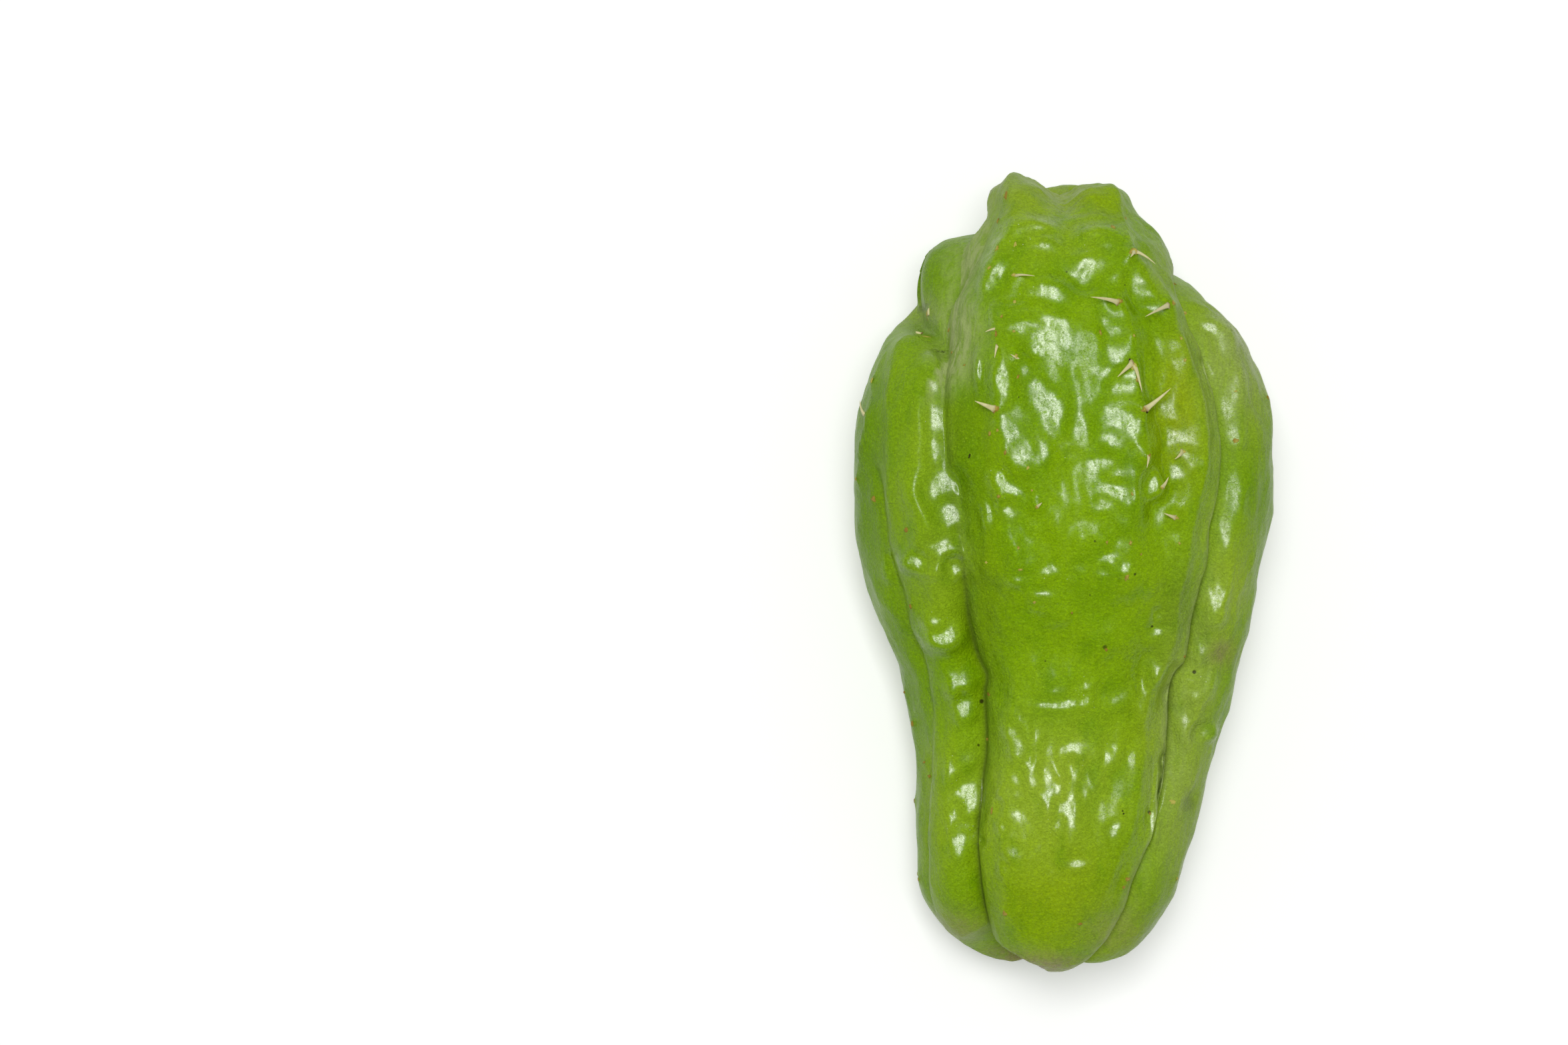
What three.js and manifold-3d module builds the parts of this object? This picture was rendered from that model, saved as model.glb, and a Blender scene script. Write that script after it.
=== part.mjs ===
// Chayote squash: one whole fruit lying on its side, the broad blossom end towards +Y and the
// narrow stem end towards -Y. Five lobes run lengthwise with deep furrows between them, the upper
// lobe being the broadest, and soft prickles stand on the skin. Millimetres, +Z up. The origin
// is on the resting plane, below the middle of the fruit.
import * as THREE from 'three';
import { mergeVertices } from 'three/addons/utils/BufferGeometryUtils.js';
import Module from 'manifold-3d';

const wasm = await Module();
wasm.setup();

// ---- Body: a lopsided pear. Its girth is given at stations along the length ----
const blossomEnd = 73.8;
const stemEnd = -76.8;
// exponent of the cross-section, above and below the core: 2 is an ellipse, more is boxier
const roundness = { above: 2.2, below: 2.5 };
// y along the fruit, reach to the left, to the right, upwards and downwards of the core, core height
const stations = [
  { y: 72, left: 12.4, right: 10.2, up: 12.5, down: 10.5, core: 35.0 },
  { y: 67.5, left: 15.4, right: 12.8, up: 18.0, down: 17.0, core: 35.5 },
  { y: 60, left: 20.4, right: 20.2, up: 24.0, down: 25.0, core: 35.5 },
  { y: 50, left: 29.4, right: 27.8, up: 28.5, down: 30.0, core: 34.5 },
  { y: 35, left: 37.0, right: 37.2, up: 31.5, down: 33.5, core: 34.0 },
  { y: 18, left: 39.2, right: 39.0, up: 32.5, down: 33.6, core: 33.0 },
  { y: 0, left: 37.0, right: 36.8, up: 30.5, down: 31.6, core: 31.5 },
  { y: -18, left: 30.4, right: 33.2, up: 25.8, down: 28.8, core: 28.8 },
  { y: -35, left: 27.4, right: 28.2, up: 25.2, down: 26.8, core: 26.4 },
  { y: -50, left: 27.2, right: 24.2, up: 26.6, down: 25.8, core: 25.0 },
  { y: -62, left: 25.4, right: 20.6, up: 23.4, down: 22.0, core: 25.0 },
  { y: -70, left: 17.6, right: 15.4, up: 17.0, down: 15.0, core: 26.0 },
  { y: -74, left: 11.0, right: 9.6, up: 11.5, down: 10.0, core: 26.5 },
];

// ---- Furrows between the lobes: points of [y, turn from straight up, depth] ----
// A turn is in degrees about the core, positive towards +X. The reach says, at some y, how far each
// flank of the furrow climbs back to the body and how rounded the bottom is: [y, flank on the side
// of smaller turns, flank on the side of larger turns, rounding].
const furrows = {
  left: {
    path: [[50.2, -96, 3.4], [49.2, -88, 4.9], [48.3, -77, 5.8], [47.4, -67.5, 6.2],
      [45.6, -59.5, 6.2], [43.2, -53.5, 5.8], [40.5, -48.8, 5], [35, -46.5, 4.3], [30.8, -45.5, 3.9],
      [24, -44, 3.9], [18, -42.5, 4], [12.8, -40.5, 4], [7.4, -39.5, 4.1], [-2, -39.5, 4.5],
      [-9.8, -41, 4.8],
      [-14, -41, 5], [-16.8, -39.8, 5], [-19.4, -37.5, 5], [-23, -39.3, 4.8], [-31.6, -39.4, 4.6],
      [-37, -41.5, 4.6], [-45, -43, 4.6], [-56, -43, 4.8], [-62, -44.5, 4.8], [-67, -50, 4.8],
      [-69.5, -57, 4.8], [-71.5, -68, 4.6], [-73.5, -80, 4.4], [-76, -96, 4]],
    reach: [[40, 2.4, 7, 0.6], [28, 1.9, 9.5, 0.5], [10, 1.9, 9.5, 0.5], [-4, 2.2, 6, 0.5],
      [-14, 2.4, 4.2, 0.5], [-30, 2.6, 3.2, 0.5]],
  },
  shoulder: { // from the slit across the blossom end, down beside the knob to the left furrow
    path: [[73.7, -104, 2.6], [71, -110, 3], [67.5, -108, 3.6], [65.5, -97, 4.2], [63.8, -86, 4.6],
      [61.5, -76, 4.9], [58.5, -68, 5.2], [55.8, -63, 5.4], [52.5, -61.3, 5.2], [49, -58.5, 5],
      [46, -54.5, 4.6], [43, -49.5, 3.4]],
    reach: [[0, 3.4, 4.4, 2.8]],
  },
  right: { // from the same slit, round the broad end of the right lobe and down to the stem end
    path: [[73.7, 100, 2.6], [70, 104, 3], [65, 107, 3.2], [60.5, 100, 3.2], [58.3, 86, 3.2],
      [56.6, 72, 3.6], [54.6, 59, 4.2], [52.2, 51.5, 4.6], [47.6, 50.5, 4.8], [41.7, 51.5, 5.2],
      [35.8, 52.5, 6], [30, 53, 6.3], [24.8, 53.5, 6.5], [19.5, 53.5, 6.5], [15, 52.5, 6.3],
      [9.4, 50.8, 6], [4.7, 50.4, 5.6], [-3.8, 49.6, 5.2], [-8.3, 49.2, 5], [-13, 50, 5],
      [-16.9, 49.6, 5], [-19.9, 46.4, 5], [-27.6, 47.6, 4.8], [-35.4, 48.8, 4.4],
      [-41.2, 45.6, 4.2], [-46, 43, 4.2], [-50.5, 40.6, 4.2], [-56.6, 35.4, 4.2],
      [-61.2, 34.6, 4.2], [-66.5, 32, 4.2], [-69.5, 29.5, 4.2], [-73, 24, 4.2], [-76, 10, 4]],
    reach: [[0, 2.6, 3.4, 0.5]],
  },
  rightUnder: {
    path: [[69, 124, 2.5], [63, 115, 3.6], [56, 111, 4.4], [45, 112, 4.6], [30, 115, 4.4],
      [14, 112, 4.6], [-4, 113, 4.2], [-20, 109, 4.2], [-36, 113, 4], [-50, 118, 4],
      [-64, 119, 4.2], [-72, 120, 4.2], [-76, 122, 4]],
    reach: [[0, 4, 7, 0.6]],
  },
  under: {
    path: [[71, 172, 3], [64, 174, 3.8], [54, 177, 3.8], [40, 181, 3.6], [24, 179, 3.4],
      [6, 181, 3.4], [-12, 178, 3.6], [-28, 180, 3.6], [-44, 177, 3.8], [-60, 180, 4],
      [-71, 184, 4.2], [-76, 188, 4]],
    reach: [[0, 4.5, 4.5, 0.6]],
  },
  leftUnder: {
    path: [[68, -124, 2.5], [61, -118, 3.6], [53, -114, 4.2], [40, -117, 4.6], [26, -122, 4.6],
      [10, -119, 4.4], [-6, -121, 4.2], [-22, -117, 4.2], [-40, -120, 4], [-56, -123, 4.2],
      [-66, -126, 4.2], [-72, -130, 4.2], [-76, -138, 4]],
    reach: [[0, 7, 4, 0.6]],
  },
};
// Softer folds in a lobe, which add to the furrows, and the raised edges of the upper lip
const folds = {
  leftFold: {
    path: [[24, -70, 0], [19, -67, 1.2], [14.2, -65, 1.8], [8, -64.5, 2.2], [1.5, -63.5, 2.4],
      [-6, -64, 2.4], [-13.5, -63.5, 2.4], [-21, -63.5, 2.2], [-28, -64, 1.8], [-38, -69, 1.6],
      [-52, -71, 1.4], [-61, -76, 1.1], [-67, -84, 0]],
    reach: [[0, 4.5, 1.6, 0.4]],
  },
  median: {
    path: [[73.7, -4, 2.8], [72, -3, 3.8], [69, -2, 3.2], [65, -1, 2], [58, 1, 1.4], [48, 1, 1.2],
      [36, 0, 1.1], [20, 1, 0.8], [5, 2, 0]],
    reach: [[0, 5, 5, 3]],
  },
};
const ridges = {
  leftLip: {
    path: [[73.4, -62, 1.4], [72, -48, 2.2], [70, -38, 2.4], [67.5, -32, 2.4], [64, -28, 2.3],
      [61, -27, 2.2], [56.8, -29.5, 2.1], [51.5, -33, 1.8], [47.5, -36, 1.2], [42, -39, 0]],
    reach: [[0, 5.5, 4.5, 0.6]],
  },
  rightLip: {
    path: [[73.6, 52, 0.2], [72.3, 42, 0.7], [69, 34, 1.4], [65.5, 29, 1.7], [62, 24.5, 1.6],
      [58.5, 22, 1.5], [56.3, 24, 1.4], [54.5, 29, 1.3], [52, 33, 1], [49, 38, 0.4]],
    reach: [[0, 4.5, 2.4, 0.8]],
  },
};
// Swellings: the knob beside the blossom end, the broad end of the right lobe, the stem end of the
// upper lobe, the lobe that the narrow part rests on, and the lower ends of the two side lobes, which
// stop short of the upper one
const swellings = [
  { y: 59, turn: -90, height: 5.2, along: 9.4, around: 15.5, edge: 1.4 },
  { y: 45, turn: 72, height: 1.2, along: 8, around: 9, edge: 1.4 },
  { y: -68, turn: -18, height: 0.8, along: 14, around: 11, edge: 1.4 },
  { y: -46, turn: 163, height: 0.6, along: 16, around: 10, edge: 1.4 },
  { y: -73, turn: -60, height: -3.3, along: 8, around: 10, edge: 1 },
  { y: -70, turn: 62, height: -1.1, along: 12, around: 12, edge: 1 },
];
const stemCavity = { radius: 7.5, depth: 7.5 };
const restingDepth = 0.7; // how much the fruit's own weight flattens it where it rests

// ---- Prickles: where each stands and where its tip lies from there, across and along ----
const prickleSize = { radius: 0.75, buried: 1.2, sides: 6 };
const prickles = [
  { y: 49.1, turn: 15.1, across: -5.3, along: 0.7, lift: 1.6 },
  { y: 48.6, turn: 33.2, across: -5, along: -2.6, lift: 1.8 },
  { y: 38.3, turn: 17.9, across: -3, along: -2.8, lift: 1.4 },
  { y: 38.1, turn: 18.1, across: 1.3, along: -5.3, lift: 1.4 },
  { y: 30, turn: 20.8, across: 4.5, along: 3.8, lift: 1.8 },
  { y: 30.2, turn: -25, across: -3.6, along: 1.4, lift: 1.6 },
  { y: 54, turn: -22.4, across: 3.5, along: -0.4, lift: 1.3 },
  { y: 29.5, turn: -73, across: -0.7, along: 2.8, lift: 1.2 },
  { y: 40, turn: 122, across: -0.4, along: -4.4, lift: 1.4 },
  { y: 12, turn: 121, across: -0.4, along: 4.4, lift: 1.4 },
  { y: 22, turn: -128, across: 0.4, along: 4.4, lift: 1.4 },
];

// ---- Mesh ----
const rings = 64;
const columnsPerLobe = { left: 16, right: 12, rightUnder: 10, under: 10, leftUnder: 14 };
const crowding = 0.35; // how much the columns crowd towards the furrows
const stepsPerPoint = 8; // steps between two points of a furrow

const toRadians = THREE.MathUtils.degToRad;
const middle = (blossomEnd + stemEnd) / 2;
const halfLength = (blossomEnd - stemEnd) / 2;
const latitude = (y) => Math.acos(THREE.MathUtils.clamp((y - middle) / halfLength, -1, 1));

// A smooth curve through values given at rising places
function throughPoints(places, values) {
  const slope = values.map((_, i) => {
    if (i === 0) return (values[1] - values[0]) / (places[1] - places[0]);
    const before = (values[i] - values[i - 1]) / (places[i] - places[i - 1]);
    if (i === values.length - 1) return before;
    const after = (values[i + 1] - values[i]) / (places[i + 1] - places[i]);
    const stepBefore = places[i] - places[i - 1];
    const stepAfter = places[i + 1] - places[i];
    return (before * stepAfter + after * stepBefore) / (stepBefore + stepAfter);
  });
  return (place) => {
    let i = 0;
    while (i < places.length - 2 && place > places[i + 1]) i += 1;
    const step = places[i + 1] - places[i];
    const t = THREE.MathUtils.clamp((place - places[i]) / step, 0, 1);
    return (2 * t ** 3 - 3 * t ** 2 + 1) * values[i] + (t ** 3 - 2 * t ** 2 + t) * step * slope[i]
      + (3 * t ** 2 - 2 * t ** 3) * values[i + 1] + (t ** 3 - t ** 2) * step * slope[i + 1];
  };
}

// Each reach is carried as a multiple of sin(latitude), so that the ends close round
const stationLatitudes = stations.map((station) => latitude(station.y));
const girth = (name) => throughPoints(
  stationLatitudes,
  stations.map((station, i) => station[name] / Math.sin(stationLatitudes[i])),
);
const reachOf = { left: girth('left'), right: girth('right'), up: girth('up'), down: girth('down') };
const coreHeight = throughPoints(stationLatitudes, stations.map((station) => station.core));

function bodyPoint(phi, turn) {
  const size = Math.max(Math.sin(phi), 1e-6);
  const wide = size * (Math.sin(turn) >= 0 ? reachOf.right(phi) : reachOf.left(phi));
  const tall = size * (Math.cos(turn) >= 0 ? reachOf.up(phi) : reachOf.down(phi));
  const power = Math.cos(turn) >= 0 ? roundness.above : roundness.below;
  const radius = (Math.abs(Math.sin(turn) / wide) ** power
    + Math.abs(Math.cos(turn) / tall) ** power) ** (-1 / power);
  return new THREE.Vector3(
    radius * Math.sin(turn),
    middle + halfLength * Math.cos(phi),
    coreHeight(phi) + radius * Math.cos(turn),
  );
}

function bodyNormal(phi, turn) {
  const step = 1e-3;
  const safe = THREE.MathUtils.clamp(phi, 2 * step, Math.PI - 2 * step);
  const along = bodyPoint(safe + step, turn).sub(bodyPoint(safe - step, turn));
  const around = bodyPoint(safe, turn + step).sub(bodyPoint(safe, turn - step));
  return along.cross(around).normalize();
}

// A path's control points, smoothed: [y, turn in degrees, depth], from the blossom end on
function smoothPath(points) {
  const curve = new THREE.CatmullRomCurve3(points.map((p) => new THREE.Vector3(...p)), false, 'catmullrom', 0.5);
  return curve.getPoints((points.length - 1) * stepsPerPoint).map((p) => [p.x, p.y, p.z]);
}

function turnAlong(path, y) {
  if (y >= path[0][0]) return path[0][1];
  for (let i = 1; i < path.length; i += 1) {
    if (y >= path[i][0]) {
      const share = (path[i - 1][0] - y) / (path[i - 1][0] - path[i][0]);
      return THREE.MathUtils.lerp(path[i - 1][1], path[i][1], share);
    }
  }
  return path[path.length - 1][1];
}

// The two flanks and the rounding at y
function reachAlong(reach, y) {
  const after = reach.findIndex(([place]) => y >= place);
  if (after === 0) return reach[0].slice(1);
  if (after < 0) return reach.at(-1).slice(1);
  const share = (reach[after - 1][0] - y) / (reach[after - 1][0] - reach[after][0]);
  return reach[after].slice(1).map((value, k) => THREE.MathUtils.lerp(reach[after - 1][k + 1], value, share));
}

const wrapTurn = (turn) => THREE.MathUtils.euclideanModulo(turn + 180, 360) - 180;

function traced(feature) {
  const path = smoothPath(feature.path);
  const line = path.map(([y, turn]) => bodyPoint(latitude(y), toRadians(turn)));
  return { ...feature, path, line };
}

const tracedFurrows = Object.values(furrows).map(traced);
const tracedFolds = Object.values(folds).map(traced);
const tracedRidges = Object.values(ridges).map(traced);

// How deep (or high) a traced feature is at a point of the body, with its flanks
function strength(feature, point, turn) {
  const segment = new THREE.Line3();
  const nearest = new THREE.Vector3();
  let distance = Infinity;
  let depth = 0;
  for (let i = 0; i < feature.line.length - 1; i += 1) {
    segment.set(feature.line[i], feature.line[i + 1]);
    const share = segment.closestPointToPointParameter(point, true);
    const away = segment.at(share, nearest).distanceTo(point);
    if (away < distance) {
      distance = away;
      depth = THREE.MathUtils.lerp(feature.path[i][2], feature.path[i + 1][2], share);
    }
  }
  const past = wrapTurn(THREE.MathUtils.radToDeg(turn) - turnAlong(feature.path, point.y));
  const nearEnd = Math.sqrt(Math.max(1 - ((point.y - middle) / halfLength) ** 2, 0));
  const [smaller, larger, rounding] = reachAlong(feature.reach, point.y);
  const reach = (past >= 0 ? larger : smaller) * THREE.MathUtils.clamp(1.7 * nearEnd, 0.4, 1);
  const flank = Math.sqrt(distance ** 2 + rounding ** 2) - rounding;
  return depth * Math.exp(-flank / reach);
}

// The fruit's skin: the body moved along its normal by every furrow, fold, ridge and swelling
function skinPoint(phi, turn) {
  const point = bodyPoint(phi, turn);
  const where = point.clone();
  const furrow = tracedFurrows.reduce((sum, f) => sum + Math.max(strength(f, where, turn), 0) ** 3, 0) ** (1 / 3);
  let height = -furrow;
  for (const fold of tracedFolds) height -= strength(fold, where, turn);
  for (const ridge of tracedRidges) height += strength(ridge, where, turn);
  for (const swelling of swellings) {
    const away = where.clone().sub(bodyPoint(latitude(swelling.y), toRadians(swelling.turn)));
    const spread = (away.y / swelling.along) ** 2 + (away.x ** 2 + away.z ** 2) / swelling.around ** 2;
    height += swelling.height * Math.max(1 - spread, 0) ** swelling.edge;
  }
  if (where.y < 0) {
    const fromCore = Math.hypot(where.x, where.z - coreHeight(Math.PI));
    height -= stemCavity.depth * Math.exp(-((fromCore / stemCavity.radius) ** 2));
  }
  return point.addScaledVector(bodyNormal(phi, turn), height);
}

// Columns follow the furrows. Above the knob the left one follows the valley beside it
const followed = Object.fromEntries(Object.keys(columnsPerLobe).map((name) => [name, smoothPath(furrows[name].path)]));
const besideKnob = smoothPath(furrows.shoulder.path);
followed.left = [...besideKnob, ...followed.left.filter(([y]) => y < besideKnob.at(-1)[0])];

function columnTurns(y) {
  const names = Object.keys(columnsPerLobe);
  const edges = names.map((name) => turnAlong(followed[name], y));
  const turns = [];
  names.forEach((name, k) => {
    const from = edges[k];
    const span = THREE.MathUtils.euclideanModulo(edges[(k + 1) % names.length] - from, 360);
    for (let j = 0; j < columnsPerLobe[name]; j += 1) {
      const share = j / columnsPerLobe[name];
      turns.push(toRadians(from + span * (share - crowding * Math.sin(2 * Math.PI * share) / (2 * Math.PI))));
    }
  });
  return turns;
}

function makeBody() {
  const points = [];
  for (let ring = 1; ring < rings; ring += 1) {
    const phi = (Math.PI * ring) / rings;
    for (const turn of columnTurns(middle + halfLength * Math.cos(phi))) points.push(skinPoint(phi, turn));
  }
  const columns = points.length / (rings - 1);
  const blossomPole = points.push(skinPoint(1e-4, 0)) - 1;
  const stemPole = points.push(skinPoint(Math.PI - 1e-4, 0)) - 1;
  const triangles = [];
  for (let column = 0; column < columns; column += 1) {
    const next = (column + 1) % columns;
    const last = (rings - 2) * columns;
    triangles.push(blossomPole, column, next);
    triangles.push(stemPole, last + next, last + column);
    for (let ring = 0; ring < rings - 2; ring += 1) {
      const a = ring * columns + column;
      const b = ring * columns + next;
      triangles.push(a, a + columns, b + columns, a, b + columns, b);
    }
  }
  // settle on the resting plane, flattened a little where it touches
  const lowest = Math.min(...points.map((point) => point.z)) + restingDepth;
  for (const point of points) point.z = Math.max(point.z - lowest, 0);
  return { points, triangles, lowest };
}

function closedGeometry(points, triangles) {
  const geometry = new THREE.BufferGeometry().setFromPoints(points);
  geometry.setIndex(triangles);
  return geometry;
}

function toSolid(geometry) {
  const merged = mergeVertices(geometry, 1e-4);
  return new wasm.Manifold(new wasm.Mesh({
    numProp: 3,
    vertProperties: new Float32Array(merged.attributes.position.array),
    triVerts: new Uint32Array(merged.index.array),
  }));
}

function toGeometry(solid) {
  const mesh = solid.getMesh();
  const geometry = new THREE.BufferGeometry();
  geometry.setAttribute('position', new THREE.BufferAttribute(new Float32Array(mesh.vertProperties), 3));
  geometry.setIndex(new THREE.BufferAttribute(new Uint32Array(mesh.triVerts), 1));
  return geometry;
}

// A prickle is a thin cone with its root in the skin, bent over towards its tip
function makePrickle(prickle, lowest) {
  const phi = latitude(prickle.y);
  const turn = toRadians(prickle.turn);
  const out = bodyNormal(phi, turn);
  const root = skinPoint(phi, turn).add(new THREE.Vector3(0, 0, -lowest));
  const lean = new THREE.Vector3(prickle.across, prickle.along, 0);
  lean.addScaledVector(out, prickle.lift - lean.dot(out));
  const stages = [
    { at: root.clone().addScaledVector(out, -prickleSize.buried), radius: prickleSize.radius * 1.1 },
    { at: root.clone().addScaledVector(out, 0.35).addScaledVector(lean, 0.1), radius: prickleSize.radius },
    { at: root.clone().addScaledVector(lean, 0.5).addScaledVector(out, 0.4), radius: prickleSize.radius * 0.5 },
  ];
  const tip = root.clone().add(lean);
  const points = [];
  const { sides } = prickleSize;
  stages.forEach((stage, i) => {
    const towards = (i + 1 < stages.length ? stages[i + 1].at : tip).clone().sub(stage.at).normalize();
    const across = new THREE.Vector3().crossVectors(towards, out.clone().addScaledVector(lean, -0.3)).normalize();
    const up = new THREE.Vector3().crossVectors(across, towards).normalize();
    for (let side = 0; side < sides; side += 1) {
      const angle = (2 * Math.PI * side) / sides;
      points.push(stage.at.clone()
        .addScaledVector(across, stage.radius * Math.cos(angle))
        .addScaledVector(up, stage.radius * Math.sin(angle)));
    }
  });
  const rootCentre = points.push(stages[0].at.clone()) - 1;
  const tipPoint = points.push(tip) - 1;
  const triangles = [];
  for (let side = 0; side < sides; side += 1) {
    const next = (side + 1) % sides;
    for (let stage = 0; stage < stages.length - 1; stage += 1) {
      const a = stage * sides + side;
      const b = stage * sides + next;
      triangles.push(a, b + sides, b, a, a + sides, b + sides);
    }
    triangles.push(rootCentre, side, next);
    triangles.push((stages.length - 1) * sides + next, (stages.length - 1) * sides + side, tipPoint);
  }
  return closedGeometry(points, triangles);
}

const body = makeBody();
let fruitSolid = toSolid(closedGeometry(body.points, body.triangles));
for (const prickle of prickles) fruitSolid = fruitSolid.add(toSolid(makePrickle(prickle, body.lowest)));

const skin = new THREE.MeshStandardMaterial({
  color: new THREE.Color().setRGB(0.47, 0.61, 0.07, THREE.SRGBColorSpace),
  roughness: 0.42,
  metalness: 0,
});

const fruit = new THREE.Mesh(toGeometry(fruitSolid), skin);
fruit.name = 'fruit';

const chayote = new THREE.Group();
chayote.add(fruit);

export default chayote;
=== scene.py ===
import math

import bpy
import numpy as np
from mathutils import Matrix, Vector, noise


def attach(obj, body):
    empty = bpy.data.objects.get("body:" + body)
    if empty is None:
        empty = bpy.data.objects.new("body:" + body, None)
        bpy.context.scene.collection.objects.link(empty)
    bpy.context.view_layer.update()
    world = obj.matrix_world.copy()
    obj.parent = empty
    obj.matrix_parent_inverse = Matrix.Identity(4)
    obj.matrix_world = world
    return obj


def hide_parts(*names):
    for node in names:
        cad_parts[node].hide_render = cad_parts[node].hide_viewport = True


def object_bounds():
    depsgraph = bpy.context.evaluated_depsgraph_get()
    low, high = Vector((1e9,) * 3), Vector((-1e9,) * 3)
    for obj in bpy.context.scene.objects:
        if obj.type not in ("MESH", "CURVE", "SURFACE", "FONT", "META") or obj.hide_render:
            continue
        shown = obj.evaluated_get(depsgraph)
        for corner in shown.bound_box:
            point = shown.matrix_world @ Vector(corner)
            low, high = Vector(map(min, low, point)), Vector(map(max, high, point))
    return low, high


# A whole chayote squash, lying on its side: its lobed skin, the prickles and the scabs on it.
# Lengths are in millimetres until a mesh is made. Turns are in degrees about the fruit's core,
# 0 straight up and positive towards +X.
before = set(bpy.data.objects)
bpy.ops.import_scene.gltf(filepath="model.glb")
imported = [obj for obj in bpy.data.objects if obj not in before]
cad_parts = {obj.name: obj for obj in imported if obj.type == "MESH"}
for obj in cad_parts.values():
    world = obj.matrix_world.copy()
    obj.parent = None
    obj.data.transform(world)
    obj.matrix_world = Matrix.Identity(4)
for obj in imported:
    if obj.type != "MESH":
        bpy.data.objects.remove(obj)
cadBox = [list(corner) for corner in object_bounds()]
metre = 0.001
print("frame loaded")

studio = {
    "eye": (-52.0, 10.0, 724.0),      # the camera looks straight down from here
    "lens": 85,
    "sensor": 36,
    "lamp": (-90.0, 180.0, 1500.0),   # a long softbox over the fruit, a little beyond the camera
    "lampAim": (0.0, 0.0, 40.0),
    "lampSize": (360.0, 560.0),
    "lampPower": 14.8,
    "ambient": 0.30,                  # what the room gives to matt surfaces
    "overhead": 0.0,                  # what a glossy surface sees above it
    "horizon": 1.0,                   # and all round it
    "roomFade": (0.12, 0.36),         # the sine of the angle up at which that begins to change, and has
    "floorSize": 6000.0,
    "floorDrop": 0.05,                # the floor lies this far below the fruit
    "floorColour": 0.95,
    "floorGlow": (0.17, 0.66),        # beside the fruit, and far away where the lamp is weak
    "glowFade": (250.0, 1600.0),      # how far away it begins to change, and has changed
}


# One output of a shader node. Arithmetic on it adds Math nodes
class Wire:
    def __init__(self, tree, socket=None):
        self.tree = tree
        self.socket = socket

    def node(self, kind, settings=None, sockets=None, give=0):
        made = self.tree.nodes.new("ShaderNode" + kind)
        for name, value in (settings or {}).items():
            setattr(made, name, value)
        for name, value in (sockets or {}).items():
            if isinstance(value, Wire):
                self.tree.links.new(value.socket, made.inputs[name])
            else:
                made.inputs[name].default_value = value
        return Wire(self.tree, made.outputs[give] if made.outputs else None)

    def also(self, name):  # another output of the same node
        return Wire(self.tree, self.socket.node.outputs[name])

    def maths(self, operation, *values, clamp=False):
        settings = {"operation": operation, "use_clamp": clamp}
        return self.node("Math", settings, dict(enumerate(values)))

    def __add__(self, other):
        return self.maths("ADD", self, other)

    def __radd__(self, other):
        return self.maths("ADD", other, self)

    def __sub__(self, other):
        return self.maths("SUBTRACT", self, other)

    def __rsub__(self, other):
        return self.maths("SUBTRACT", other, self)

    def __mul__(self, other):
        return self.maths("MULTIPLY", self, other)

    def __rmul__(self, other):
        return self.maths("MULTIPLY", other, self)

    def most(self, other):
        return self.maths("MAXIMUM", self, other)

    def size(self):  # without its sign
        return self.maths("ABSOLUTE", self)

    def clamped(self):
        return self.maths("ADD", self, 0.0, clamp=True)

    def between(self, low, high, toLow=0.0, toHigh=1.0):  # eased from one range to another
        sockets = {"Value": self, "From Min": low, "From Max": high, "To Min": toLow, "To Max": toHigh}
        return self.node("MapRange", {"interpolation_type": "SMOOTHSTEP"}, sockets)

    def blend(self, first, second):  # one colour where this is 0, another where it is 1
        sockets = {0: self, 6: asColour(first), 7: asColour(second)}
        return self.node("Mix", {"data_type": "RGBA"}, sockets, 2)

    def toward(self, colour, share, how="MIX"):  # this colour, mixed with another
        settings = {"data_type": "RGBA", "blend_type": how}
        return self.node("Mix", settings, {0: share, 6: self, 7: asColour(colour)}, 2)

    def scaled(self, by):  # this vector, times another
        return self.node("VectorMath", {"operation": "MULTIPLY"}, {0: self, 1: by})

    def plus(self, other):  # this vector, plus another
        return self.node("VectorMath", {"operation": "ADD"}, {0: self, 1: other})

    def awayFrom(self, place):  # how far this vector is from a place
        return self.node("VectorMath", {"operation": "DISTANCE"}, {0: self, 1: place}, "Value")

    def grain(self, size, detail=3.0, roughness=0.6, twist=0.0):  # noise with spots of this size
        sockets = {"Vector": self, "Scale": 1 / (size * metre), "Detail": detail,
                   "Roughness": roughness, "Distortion": twist}
        return self.node("TexNoise", sockets=sockets)

    def cells(self, size):
        return self.node("TexVoronoi", sockets={"Vector": self, "Scale": 1 / (size * metre)})


def asColour(colour):
    # a colour as picked on screen, 0 to 255, made fit for a socket
    if isinstance(colour, Wire):
        return colour
    parts = [value / 255 for value in colour]
    return tuple(p / 12.92 if p <= 0.04045 else ((p + 0.055) / 1.055) ** 2.4 for p in parts) + (1.0,)


def newMaterial(name):
    material = bpy.data.materials.new(name)
    material.use_nodes = True
    material.node_tree.nodes.clear()
    return material, Wire(material.node_tree)


def finishMaterial(wire, shader):
    wire.node("OutputMaterial", sockets={"Surface": shader})


def seenShare(wire):
    # 1 for what the eye or a glossy surface sees, 0 for what only lights the scene
    ray = wire.node("LightPath", give="Is Camera Ray")
    return (ray + ray.also("Is Glossy Ray") + ray.also("Is Transmission Ray")).clamped()


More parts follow.
